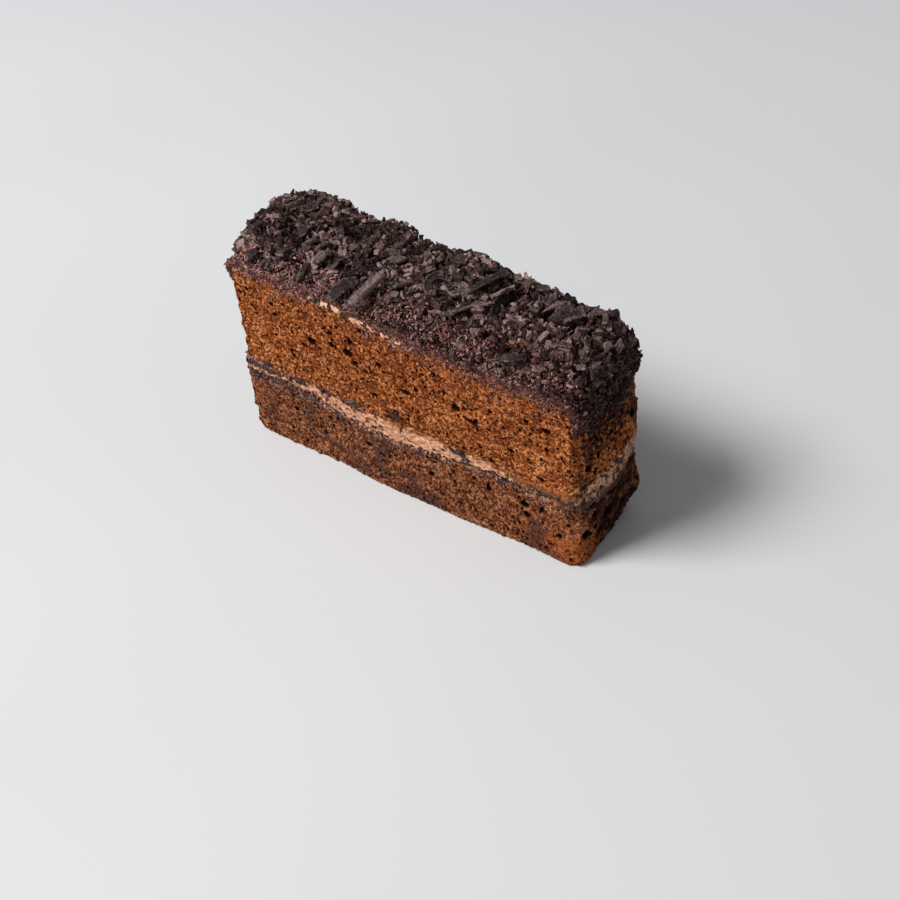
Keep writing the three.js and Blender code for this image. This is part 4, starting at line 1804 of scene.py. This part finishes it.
# ---- Finishes -----------------------------------------------------------------------------------
@dataclass(frozen=True)
class Finish:
    """What a piece is made of, for the eye; each sort below says how its surface looks."""

    name: str

    def surface(self, tree: Tree, place: Socket) -> Inputs:
        """What the shader's inputs are set to or joined with."""
        raise NotImplementedError

    def material(self) -> Material:
        """Makes the finish's material.

        Returns:
            The new material.
        """
        material = bpy.data.materials.new(self.name)
        material.use_nodes = True
        tree = material.node_tree
        tree.nodes.clear()
        place = add_node(tree, "TexCoord", {}).outputs["Object"]
        shader = add_node(tree, "BsdfPrincipled", self.surface(tree, place))
        add_node(tree, "OutputMaterial", {"Surface": shader.outputs[0]})
        return material


@dataclass(frozen=True)
class SpongeFinish(Finish):
    """Baked chocolate sponge: matt, warm crumb, its pores darkened near black as painted shade.

    pale, light, middle and deep are the crumb's own browns; rim is the painted shade's colour round a
    bubble's mouth and pore the one deep in it; dust and cream are what clings to it, and damp_and_shade is
    crumb that stays damp, darkened further as painted shade at the narrow end.
    """

    pale: str
    light: str
    middle: str
    deep: str
    rim: str
    pore: str
    dust: str
    cream: str
    warm: str
    damp_and_shade: str
    roughness: float = 0.88

    def surface(self, tree: Tree, place: Socket) -> Inputs:
        """The crumb's browns, the stains on it, its dark pores and its relief.

        Args:
            tree: the material's nodes.
            place: the place on the piece.

        Returns:
            The shader's inputs.
        """
        # Crumb colour: single crumbs of seven tenths of a millimetre, in patches of two to three.
        patches = add_node(tree, "TexNoise", {"Vector": place, "Scale": per_mm(2.6), "Detail": 2.0})
        fine = {"Vector": place, "Scale": per_mm(0.68), "Detail": 3.0, "Roughness": 0.7}
        crumbs = add_node(tree, "TexNoise", fine)
        grains = add_node(tree, "TexVoronoi", {"Vector": place, "Scale": per_mm(0.6), "Randomness": 1.0})
        lots = add_node(tree, "SeparateColor", {0: grains.outputs["Color"]})
        tones = {0: 0.42, 2: crumbs.outputs[0], 3: lots.outputs[0]}
        tones = {0: 0.3, 2: add_node(tree, "Mix", tones, data_type="FLOAT").outputs[0], 3: patches.outputs[0]}
        tone = add_node(tree, "Mix", tones, data_type="FLOAT").outputs[0]
        ramp = add_node(tree, "ValToRGB", {0: tone})
        set_ramp(ramp, ((0.37, self.deep), (0.5, self.middle), (0.63, self.light), (0.78, self.pale)))
        colour = ramp.outputs[0]
        warmed = add_node(tree, "Mix", {0: 0.6, 6: colour, 7: linear(self.warm)}, data_type="RGBA")
        # Pinholes between the larger pores, about four tenths of a millimetre across; they are darkened below
        # as painted shade.
        cells = add_node(tree, "TexVoronoi", {"Vector": place, "Scale": per_mm(0.9), "Randomness": 1.0})
        pinholes = add_node(tree, "MapRange", {0: cells.outputs["Distance"], 1: 0.3, 2: 0.12, 3: 0.0, 4: 0.4})
        pore = add_node(tree, "Attribute", {}, attribute_name="pore")
        both = {0: pinholes.outputs[0], 1: pore.outputs["Fac"]}
        holes = add_node(tree, "Math", both, operation="MAXIMUM").outputs[0]
        # Over the crumb, one after the other: warm and stained places, the damp ones with painted shade at
        # the narrow end, then the holes' rims and depths, darkened as painted shade.
        stains = (
            ("warm", warmed.outputs[2]),
            ("dust", linear(self.dust)),
            ("cream", linear(self.cream)),
            ("damp_and_shade", linear(self.damp_and_shade)),
        )
        layers = []
        for name, over in stains:
            amount = add_node(tree, "Attribute", {}, attribute_name=name)
            layers.append((amount.outputs["Fac"], over))
        for start, end, shade in ((0.0, 0.4, self.rim), (0.3, 0.8, self.pore)):
            share = add_node(tree, "MapRange", {0: holes, 1: start, 2: end})
            layers.append((share.outputs[0], linear(shade)))
        for share, over in layers:
            colour = add_node(tree, "Mix", {0: share, 6: colour, 7: over}, data_type="RGBA").outputs[2]
        # Relief of the single crumbs, finer than the mesh.
        raised = add_node(tree, "Math", {0: tone, 1: grains.outputs["Distance"]}, operation="SUBTRACT")
        height = add_node(tree, "Math", {0: raised.outputs[0], 1: holes}, operation="SUBTRACT")
        bump = add_node(tree, "Bump", {"Height": height.outputs[0], "Strength": 0.9, "Distance": 0.35 * MM})
        return {
            "Base Color": colour,
            "Roughness": self.roughness,
            "Specular IOR Level": 0.1,
            "Normal": bump.outputs[0],
        }


@dataclass(frozen=True)
class CreamFinish(Finish):
    """Whipped chocolate cream: soft pinkish tan, paler along its raised streaks, darker where crumbs are in
    it.

    It is darkened further as painted shade at the narrow end and in its holes, and lightened as painted
    highlight where the coat shows clean.
    """

    name: str = "chocolate_cream"
    pale: str = "#f8bc96"
    body: str = "#a56546"
    clean_and_highlight: str = "#fdc19f"
    crumbs_and_shade: tuple[str, str] = ("#0e0605", "#6e4a3a")
    smeared: tuple[str, str] = ("#6b3411", "#b06a38")
    pore: str = "#44200f"
    roughness: float = 0.62

    def surface(self, tree: Tree, place: Socket) -> Inputs:
        """Dragged streaks of cream, with what is in it and on it, and the drag marks' relief.

        Args:
            tree: the material's nodes.
            place: the place on the piece.

        Returns:
            The shader's inputs.
        """
        # Streaks that the knife dragged, longer along the slice than up it.
        dragged = add_node(tree, "Mapping", {"Vector": place, "Scale": (0.45, 0.45, 1.3)})
        drag = {"Vector": dragged.outputs[0], "Scale": per_mm(0.7), "Detail": 4.0, "Roughness": 0.6}
        streaks = add_node(tree, "TexNoise", drag)
        ramp = add_node(tree, "ValToRGB", {0: streaks.outputs[0]})
        set_ramp(ramp, ((0.36, self.body), (0.6, self.pale)))
        # What is in it or on it, crumb by crumb: chocolate, and sponge that the knife dragged over it.
        # Before these comes a painted highlight on the clean coat; the chocolate also carries painted shade
        # at the narrow end, and painted shade fills the holes last.
        specks = add_node(tree, "TexNoise", {"Vector": place, "Scale": per_mm(0.45), "Detail": 2.0})
        lumps = add_node(tree, "TexNoise", {"Vector": place, "Scale": per_mm(0.6), "Detail": 2.0})
        tone = add_node(tree, "MapRange", {0: lumps.outputs[0], 1: 0.42, 2: 0.6})
        names = ("clean_and_highlight", "smeared", "crumbs_and_shade", "pore")
        much = {name: add_node(tree, "Attribute", {}, attribute_name=name).outputs["Fac"] for name in names}
        layers = [(much["clean_and_highlight"], linear(self.clean_and_highlight))]
        for name, shades in (("smeared", self.smeared), ("crumbs_and_shade", self.crumbs_and_shade)):
            both = add_node(tree, "Math", {0: much[name], 1: specks.outputs[0]}, operation="ADD")
            amount = add_node(tree, "MapRange", {0: both.outputs[0], 1: 0.72, 2: 0.98})
            tones = {0: tone.outputs[0], 6: linear(shades[0]), 7: linear(shades[1])}
            layers.append((amount.outputs[0], add_node(tree, "Mix", tones, data_type="RGBA").outputs[2]))
        layers.append((much["pore"], linear(self.pore)))
        colour = ramp.outputs[0]
        for share, over in layers:
            colour = add_node(tree, "Mix", {0: share, 6: colour, 7: over}, data_type="RGBA").outputs[2]
        bump = add_node(tree, "Bump", {"Height": streaks.outputs[0], "Strength": 0.7, "Distance": 0.3 * MM})
        return {
            "Base Color": colour,
            "Roughness": self.roughness,
            "Specular IOR Level": 0.2,
            "Subsurface Weight": 0.12,
            "Subsurface Radius": (1.0, 0.6, 0.4),
            "Subsurface Scale": 0.8 * MM,
            "Normal": bump.outputs[0],
        }


@dataclass(frozen=True)
class ChocolateFinish(Finish):
    """Dark chocolate, broken or shaved: near black in its depths, greyish where cocoa dusts it.

    The depths are painted shade: each piece's shade is lowered where it lies deep in the heap, between
    clumps or at the narrow end.
    """

    dark: str
    middle: str
    light: str
    roughness: float
    grain_size: float
    relief: float
    gloss: float = 0.1

    def surface(self, tree: Tree, place: Socket) -> Inputs:
        """Each piece's shade, its own tone and painted shade, broken up by cocoa dust on its faces.

        Args:
            tree: the material's nodes.
            place: the place on the piece.

        Returns:
            The shader's inputs.
        """
        shade = add_node(tree, "Attribute", {}, attribute_name="shade")
        dusty = {"Vector": place, "Scale": per_mm(self.grain_size), "Detail": 3.0, "Roughness": 0.6}
        dust = add_node(tree, "TexNoise", dusty)
        spread = add_node(tree, "MapRange", {0: dust.outputs[0], 1: 0.3, 2: 0.7, 3: -0.3, 4: 0.3})
        both = add_node(tree, "Math", {0: shade.outputs["Fac"], 1: spread.outputs[0]}, operation="ADD")
        ramp = add_node(tree, "ValToRGB", {0: both.outputs[0]})
        set_ramp(ramp, ((0.0, self.dark), (0.5, self.middle), (1.0, self.light)))
        relief = {"Height": dust.outputs[0], "Strength": 0.8, "Distance": self.relief * MM}
        return {
            "Base Color": ramp.outputs[0],
            "Roughness": self.roughness,
            "Specular IOR Level": self.gloss,
            "Normal": add_node(tree, "Bump", relief).outputs[0],
        }


@dataclass(frozen=True)
class FloorFinish(Finish):
    """A studio floor: near white and dull, with a mottle so faint that it only takes off the flatness."""

    name: str = "pale_floor"
    pale: str = "#e9eaec"
    paler: str = "#eeeff0"

    def surface(self, tree: Tree, place: Socket) -> Inputs:
        """Two near whites in broad soft patches."""
        mottle = add_node(tree, "TexNoise", {"Vector": place, "Scale": 6.0, "Detail": 1.0})
        tone = add_node(tree, "ValToRGB", {0: mottle.outputs[0]})
        set_ramp(tone, ((0.3, self.pale), (0.7, self.paler)))
        return {"Base Color": tone.outputs[0], "Roughness": 0.55}


UPPER_SPONGE = SpongeFinish(
    "upper_sponge_crumb", pale="#eec09c", light="#de8d52", middle="#a95829", deep="#6b3314", rim="#4f1e04",
    pore="#1c0802", dust="#2c1914", cream="#d8aa88", warm="#c87a3e", damp_and_shade="#341608",
)
LOWER_SPONGE = SpongeFinish(
    "lower_sponge_crumb", pale="#d2ab90", light="#bb7b53", middle="#8f5132", deep="#582c17", rim="#401603",
    pore="#0f0401", dust="#403031", cream="#bf9478", warm="#bd642d", damp_and_shade="#1a0a05",
)
CREAM = CreamFinish()
CRUMB_CHOCOLATE = ChocolateFinish(
    "chocolate_crumbs", dark="#060303", middle="#5b4440", light="#b3958f",
    roughness=0.75, grain_size=0.5, relief=0.3,
)
COCOA_CRUMB = ChocolateFinish(
    "cocoa_crumbs", dark="#120605", middle="#9a635a", light="#dfaca1",
    roughness=0.8, grain_size=0.4, relief=0.25,
)
# Painted shade: the bed is near black, standing in for the shadow in the heap's gaps; the light colour serves
# its open rim.
PACKED_CRUMB_SHADE = ChocolateFinish(
    "packed_crumbs_painted_shade", dark="#030101", middle="#140a08", light="#7a5449",
    roughness=0.8, grain_size=0.5, relief=0.35,
)
SHAVED_CHOCOLATE = ChocolateFinish(
    "shaved_chocolate", dark="#0a0505", middle="#413332", light="#9d8581",
    roughness=0.55, grain_size=0.45, relief=0.32, gloss=0.12,
)


# ---- The studio ---------------------------------------------------------------------------------
@dataclass
class Studio:
    """A pale floor, soft light from the left and a camera that looks down on the slice's flat side."""

    eye: tuple[float, float, float] = (190.6, -236.2, 273.7)
    azimuth: float = 38.8
    elevation: float = 41.93
    roll: float = -6.13
    lens: float = 60
    sensor: float = 36
    light_colour: Colour = (0.96, 0.98, 1.0, 1)
    fill: float = 0.19

    def lay_floor(self) -> None:
        """Makes the floor, a broad plain disc just under the slice."""
        floor = primitive("circle", vertices=128, radius=3, fill_type="NGON")
        floor.name = floor.data.name = "floor"
        with editing(floor):
            bpy.ops.mesh.inset(thickness=0.5)
        floor.data.materials.append(FloorFinish().material())

    def hang_light(self, name: str, place: tuple[float, float, float], size: float, power: float) -> None:
        """Hangs a square soft light that faces the slice.

        Args:
            name: what it is called.
            place: where, in metres.
            size: its side in metres.
            power: in watts.
        """
        lamp = bpy.data.lights.new(name, "AREA")
        lamp.shape, lamp.size, lamp.energy = "SQUARE", size, power
        obj = bpy.data.objects.new(name, lamp)
        obj.location = place
        obj.rotation_euler = (Vector((0, 0, 0.03)) - Vector(place)).to_track_quat("-Z", "Y").to_euler()
        bpy.context.scene.collection.objects.link(obj)

    def light(self) -> None:
        """Lights the slice: a large soft key from the left, and a faint even fill."""
        self.hang_light("key", (-0.7, -0.75, 1.35), 0.7, 26)
        world = bpy.data.worlds.new("studio")
        world.use_nodes = True
        background = world.node_tree.nodes["Background"].inputs
        background[0].default_value = self.light_colour
        background[1].default_value = self.fill
        bpy.context.scene.world = world
        bpy.context.scene.view_settings.view_transform = "Standard"
        bpy.context.scene.view_settings.look = "None"

    def set_camera(self) -> None:
        """Places the camera and makes it the scene's own."""
        a, e, r = (math.radians(angle) for angle in (self.azimuth, self.elevation, self.roll))
        back = Vector((math.sin(a) * math.cos(e), -math.cos(a) * math.cos(e), math.sin(e)))
        level = Vector((0, 0, 1)).cross(back).normalized()
        upright = back.cross(level)
        right = level * math.cos(r) + upright * math.sin(r)
        data = bpy.data.cameras.new("camera")
        data.lens, data.sensor_width, data.clip_start, data.clip_end = self.lens, self.sensor, 0.01, 20
        camera = bpy.data.objects.new("camera", data)
        turned_to = Matrix((right, back.cross(right), back)).transposed().to_4x4()
        camera.matrix_world = Matrix.Translation(Vector(self.eye) * MM) @ turned_to
        bpy.context.scene.collection.objects.link(camera)
        bpy.context.scene.camera = camera


# ---- The cake's own lists, each row what the class of its name takes ----------------------------
UPPER_IN_SIDE = (
    (-27, 40.3, 1.2, 1.0, 20), (-20.7, 44.9, 0.7, 0.6), (-20, 41.4, 1.2, 0.65, -15),
    (-14.1, 44.8, 0.8, 0.7), (-15.3, 40.9, 1.3, 1.1), (-5.3, 41.2, 0.7, 0.6),
    (2.2, 35, 1.7, 0.5, -8, 1.0), (17.5, 36.3, 1.2, 0.9), (21.6, 34, 2.1, 0.55, -12),
    (38.2, 40.9, 0.6, 0.6), (43.4, 39.7, 1.0, 0.8), (44.5, 47, 0.6, 0.6), (-39, 47.5, 0.9, 0.5),
    (-2.5, 25.3, 2.6, 0.8, -10, 1.0), (28, 40, 0.6, 0.5), (-34, 33, 0.6, 0.5), (8, 43, 0.6, 0.5),
    (33, 29, 0.8, 0.6), (-8, 30, 0.7, 0.6),
)
UPPER_IN_END = (
    (-6.6, 38.5, 1.4, 1.0, 20), (-9, 35.2, 1.2, 0.8), (-13.6, 29.8, 1.0, 0.9),
    (-11.4, 27.8, 0.8, 0.6, 0, 1.0), (-3, 33.4, 1.6, 0.8, 10), (2, 35.5, 1.4, 1.0), (8, 31, 1.3, 0.9),
    (-9, 30.8, 0.8, 0.8, 0, 1.0),
)
LOWER_IN_SIDE = (
    (36.5, 13.2, 1.0, 0.9), (37.4, 10.2, 0.9, 0.9), (25.8, 13.9, 0.6, 1.0), (-12, 12, 0.8, 0.6),
    (-37, 13, 0.8, 0.6), (8, 10.5, 0.6, 0.6), (-25, 15, 0.7, 0.5), (47, 8, 0.7, 0.5),
)
LOWER_IN_END = (
    (-15.4, 9.4, 1.3, 1.3, 0, 1.4), (-6.2, 10.4, 1.5, 1.2, 0, 1.4), (0.2, 8.4, 1.4, 1.2),
    (-9.7, 5.8, 1.0, 0.7), (-3.6, 17.4, 1.2, 0.8, 10), (-12.4, 14.4, 0.9, 0.8),
)
CREAM_IN_END = (
    (-15.2, 24.8, 0.9, 0.7, 0, 1.4), (-16.6, 22.6, 0.6, 0.8), (-12.2, 26.0, 0.7, 0.45, 20, 1.0),
    (-7, 25.4, 0.5, 0.4, 0, 1.0),
)
SPONGE_PATCHES = ((-47.6, -13.2, 2.4, 30), (32.4, -10.6, 3.0, 34))
SMEARS = (
    ((-52, 26.0), (-37, 24.4), 0.35, 60), ((-52, 20.2), (-30, 20.6), 0.75, 60, (0.5, 1.2), 0.35),
    ((-32, 19.7), (-28, 18.8), 0.5, 16, (0.7, 1.6), 0.75),
    ((-27, 24.1), (-24, 23.4), 0.3, 9, (0.7, 1.5), 0.2),
    ((-24, 23.9), (-12, 23.5), 0.3, 22, (0.6, 1.4), 0.3),
    ((-27, 18.6), (-8, 15.9), 0.45, 44, (0.4, 1.0), 0.7),
    ((-8, 15.8), (24, 16.8), 0.4, 46, (0.4, 0.9), 0.75),
    ((24, 17.2), (46, 17.4), 0.7, 44, (0.4, 1.0), 0.8), ((-5, 24.6), (2, 24.0), 0.4, 16, (0.6, 1.3), 0.1),
    ((-1.6, 20.9), (-1, 20.9), 0.15, 3, (0.6, 0.9), 0.2),
    ((-10, 49.8), (-7, 48.6), 0.5, 10, (0.7, 1.4), 0.5), ((4, 51.2), (6, 50.2), 0.5, 12, (0.7, 1.4), 0.6),
    ((-50, 54.6), (-24, 53.8), 0.6, 90, (0.5, 1.1), 0.6),
    ((2, 51.2), (46, 49.4), 0.5, 90, (0.5, 1.1), 0.4),
)
FLAKES = (
    (17.4, 21.2, 7.4, 1.7, 21), (-15.6, 24.1, 5.4, 1.7, 6), (-24.6, 23.8, 2.8, 1.4, 8),
    (-30, 19.5, 3.4, 2.0, 12), (3.4, 15.4, 3.4, 1.3, 10), (-44, 26.0, 4.0, 1.0, 8),
    (-8.3, 49.3, 3.2, 1.5, 50), (4.7, 50.8, 2.2, 1.6, 70), (-2.5, 25.2, 5.0, 1.3, 14, 0.05),
    (-20, 17.0, 3.2, 1.2, 12), (30, 17.6, 3.2, 1.1, 4), (-49, 20.6, 3.6, 1.3, -6),
)
STRIP, PLATE, LENS, RING, CHUNK = Shape
LAID = (
    (STRIP, -16.3, -14.4, 66, 8.0, 2.8, 24, 6, 14, 0.7, 1.2, 0.45, 50),
    (STRIP, -9, -12.4, 70, 11.4, 2.2, 8, 6, -14, 0.9, 2.0, 0.8, 4),
    (PLATE, -1.8, -9.4, 30, 6.6, 5.8, 8, 8, -18, 1.0, 0.8, 0.75),
    (PLATE, -5.2, -9.0, -30, 4.6, 3.8, 5, 20, -10, 0.8, 0.8, 0.5),
    (RING, 6.1, -4.6, 100, 14.0, 1.9, 10, 0, 20, 1.2, 1.1, 0.55, 225),
    (STRIP, 11.6, -6.8, -44, 6.0, 1.8, 20, 20, 0, 1.1, 1.2, 0.65, -12),
    (PLATE, 12.6, -3.2, -20, 5.2, 3.6, 20, -8, 22, 1.0, 0.9, 0.75, 20),
    (STRIP, 18.2, -8.0, 45, 10.6, 2.4, 10, 4, -30, 1.4, 1.1, 0.66, 80),
    (STRIP, 23.0, -4.0, 96, 9.0, 2.2, 18, 10, 52, 1.3, 1.0, 0.3, 84),
    (PLATE, 21.8, 0.2, 40, 5.8, 5.0, 8, 22, -30, 1.9, 0.8, 0.85),
    (STRIP, 15.6, 1.6, 66, 11.0, 2.1, 12, 6, -24, 1.3, 1.1, 0.45, 8),
    (STRIP, 12.6, 6.2, 60, 6.0, 1.8, 16, 0, -10, 1.0, 1.1, 0.4, -10),
    (CHUNK, 18.0, 9.0, 30, 5.8, 4.4, 0, 0, 0, -0.6, 2.2, 0.3),
    (CHUNK, 25.0, 8.8, -20, 6.0, 4.2, 0, 0, 0, -0.2, 2.0, 0.5),
    (CHUNK, 3.0, 9.6, 10, 4.4, 3.6, 0, 0, 0, -0.7, 2.0, 0.4),
    (PLATE, 33.4, 2.6, 48, 7.6, 5.4, 12, 22, -34, 2.2, 0.8, 0.8),
    (PLATE, 31.4, 5.6, 20, 4.6, 4.0, 12, 30, 10, 1.6, 0.8, 0.6),
    (CHUNK, 41.0, -0.6, 58, 8.0, 5.2, 0, 0, 0, 0.8, 3.0, 0.5),
    (LENS, 32.8, -14.2, 20, 7.0, 3.6, 0, 0, -34, 0.6, 1.0, 0.5),
    (LENS, 51.0, -1.6, 58, 6.0, 3.6, 0, 0, -40, 0.6, 1.0, 0.4),
    (LENS, 53.0, 3.4, 50, 3.6, 2.6, 0, 0, -46, 0.4, 1.0, 0.5),
    (RING, 45.4, 5.6, 20, 8.0, 1.2, 10, 0, 20, 1.0, 1.0, 0.7, 250),
    (CHUNK, 46.4, 9.0, 20, 4.2, 3.6, 0, 0, 0, -0.4, 1.8, 0.5),
    (STRIP, 44.6, -9.4, 20, 5.0, 1.5, 20, 0, 10, 0.8, 0.9, 0.6, 60),
    (STRIP, 46.8, -4.6, 120, 4.4, 1.4, 20, 0, 10, 0.8, 0.9, 0.6, 60),
    (STRIP, -45.6, 11.2, 20, 4.6, 2.2, 60, 0, 10, 0.5, 0.9, 0.15, 20),
    (PLATE, -42.4, 11.0, 40, 3.8, 3.2, 12, 44, 10, 0.7, 0.8, 0.6),
    (CHUNK, -42.4, 6.4, 40, 4.4, 3.6, 0, 0, 0, 0.7, 1.8, 0.6),
    (STRIP, -41.2, -12.4, -38, 4.6, 1.6, 12, 12, 10, 0.7, 0.9, 0.6, 10),
    (STRIP, -43.6, -12.6, -26, 3.4, 1.1, 10, 6, 0, 0.7, 0.8, 0.25),
    (PLATE, -43.2, -15.0, 85, 3.8, 3.0, 10, 0, -24, 0.5, 0.8, 0.4),
    (STRIP, -40.0, -15.0, 71, 4.0, 1.5, 10, 0, -30, 0.5, 0.9, 0.6, 20),
    (STRIP, -38.0, -15.2, 100, 3.2, 1.1, 14, 0, -20, 0.5, 0.8, 0.5, 20),
    (PLATE, -35.5, -12.4, 93, 4.4, 3.0, 10, 0, -24, 0.8, 0.8, 0.6),
    (PLATE, -32.4, -5.8, 80, 3.8, 3.2, 8, 10, -14, 0.9, 0.8, 0.7),
    (STRIP, -29.2, -5.2, 80, 3.6, 1.4, 8, 0, -10, 0.9, 0.9, 0.7),
    (PLATE, -26.6, -9.0, 95, 5.2, 3.6, 8, 10, -24, 0.9, 0.8, 0.7),
    (STRIP, -29.4, -12.8, 102, 4.2, 1.6, 12, 8, -20, 0.9, 0.9, 0.5, 20),
    (PLATE, -23.2, -8.2, 70, 4.4, 3.4, 8, 10, -20, 0.9, 0.9, 0.6),
    (PLATE, -17.4, -11.2, 50, 3.8, 3.2, 8, 0, -20, 0.6, 0.9, 0.5),
    (STRIP, -30, 2.5, -40, 5.0, 2.0, 20, 0, 20, 0.8, 0.9, 0.5, 40),
    (STRIP, -24, 11, 30, 5.4, 2.0, 20, 0, -10, 0.7, 0.9, 0.4, 30),
    (PLATE, -37, -2, 60, 4.2, 3.4, 12, 6, 10, 0.8, 0.8, 0.5),
    (PLATE, -21.4, 5.4, 66, 5.2, 2.8, 8, 0, -20, 0.9, 0.8, 0.7),
    (PLATE, -12, 0.4, 60, 4.8, 3.8, 8, 10, -24, 0.9, 0.9, 0.7),
    (STRIP, -13.2, 5.6, 70, 6.4, 2.6, 12, 4, -10, 0.8, 0.9, 0.55),
    (PLATE, 5, 6, 10, 4.8, 4.2, 14, 8, 14, 0.9, 0.9, 0.55),
    (CHUNK, -3, 8.6, 70, 4.2, 3.4, 0, 0, 0, -0.2, 2.0, 0.5),
    (STRIP, 5, 13, 30, 5.6, 1.9, 20, 0, 0, 0.7, 0.9, 0.45, 40),
    (CHUNK, 34, 10, 40, 4.8, 3.8, 0, 0, 0, 0.7, 2.0, 0.4),
    (STRIP, 41.4, 8.6, -20, 4.2, 1.7, 20, 0, 0, 0.1, 0.8, 0.45, 45),
)
UPPER_HOLLOWS = (*starmap(Hollow, UPPER_IN_SIDE), *(Hollow(*row, at_end=True) for row in UPPER_IN_END))
LOWER_HOLLOWS = (*starmap(Hollow, LOWER_IN_SIDE), *(Hollow(*row, at_end=True) for row in LOWER_IN_END))
CREAM_HOLLOWS = tuple(Hollow(*row, at_end=True) for row in CREAM_IN_END)
CRUMB, LUMP, SHRED, CHIP, CURL = Piece
STREWN = (
    ("fine_crumbs", CRUMB, 6400, (0.45, 1.1), (0.85, 0.7), 1.5, 2.4, 0.1, 0.1, 1.0, (0.1, 0.8), -0.3),
    ("cocoa_shreds", SHRED, 4800, (0.8, 1.8), (0.9, 0.9), 0.9, 2.4, 0.12, 0.12, 1.1, (0.1, 0.85), 0.25),
    ("grated_shreds", SHRED, 5600, (1.2, 3.0), (0.85, 0.85), 0.9, 0.9, 1.1, 1.1, 0.9, (0.1, 0.95), 0.35),
    ("coarse_crumbs", LUMP, 2400, (1.4, 3.4), (0.75, 0.5), 1.4, 0.25, 1.2, 1.2, 1.5, (0.1, 0.9), 0.3),
    ("chocolate_chips", CHIP, 2800, (2.2, 5.4), (0.85, 0.9), 1.0, 0.2, 1.2, 1.3, 0.6, (0.05, 0.95), 0.5),
    ("chocolate_curls", CURL, 1900, (2.2, 4.6), (0.8, 0.9), 1.0, 0.4, 1.2, 1.1, 0.9, (0.05, 0.95), 0.55),
)


def dress(obj: Thing, material: Material, node: str = "") -> None:
    """Finishes a piece and fixes it to the slice.

    Args:
        obj: the piece.
        material: its finish.
        node: the CAD node that it stands for, if any.
    """
    obj.data.materials.clear()
    obj.data.materials.append(material)
    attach(obj, BODY)
    if node:
        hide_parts(node)
    log.info("%s: %d faces", obj.name, len(obj.data.polygons))


def main() -> None:
    """Builds the slice and its studio, piece by piece."""
    logging.basicConfig(level=logging.INFO, format="%(message)s")
    studio = Studio()
    studio.set_camera()
    studio.light()
    studio.lay_floor()

    form = SliceForm()
    cream, lower, upper = CREAM.material(), LOWER_SPONGE.material(), UPPER_SPONGE.material()
    cocoa, crumbs, shaved = (f.material() for f in (COCOA_CRUMB, CRUMB_CHOCOLATE, SHAVED_CHOCOLATE))
    layers = (
        Sponge("lower_sponge_crumb", "lower_sponge", "dark_sponge", form, LOWER_HOLLOWS, rows=62, seed=5),
        Sponge("upper_sponge_crumb", "upper_sponge", "pale_sponge", form, UPPER_HOLLOWS, 98, 300, upper=True),
        CreamBand("filling_cream", "cream_filling", "chocolate_cream", form, CREAM_HOLLOWS),
        CreamBand("coat_cream", "cream_coat", "chocolate_cream", form, rows=10, coat=True),
    )
    for layer, material in zip(layers, (lower, upper, cream, cream)):
        dress(layer.build(), material, layer.node)

    bed = ToppingBed(form)
    dress(bed.build(), PACKED_CRUMB_SHADE.material(), bed.node)
    heap = CrumbHeap(bed, PieceShop(), tuple(starmap(Strewing, STREWN)))
    for obj in heap.strew():
        dress(obj, cocoa if obj.name in ("fine_crumbs", "cocoa_shreds") else crumbs)
    dress(Shavings(heap, tuple(starmap(Shaving, LAID))).build(), shaved)
    stray = StrayCrumbs(heap, tuple(starmap(Smear, SMEARS)), tuple(starmap(Flake, FLAKES)))
    dress(stray.in_cream(), cocoa)
    dress(stray.flakes(), shaved)
    dress(stray.on_sides(), cocoa)
    dress(stray.hanging_shreds(), cocoa)
    dress(stray.of_sponge(SPONGE_PATCHES), lower)


if __name__ == "__main__":
    main()
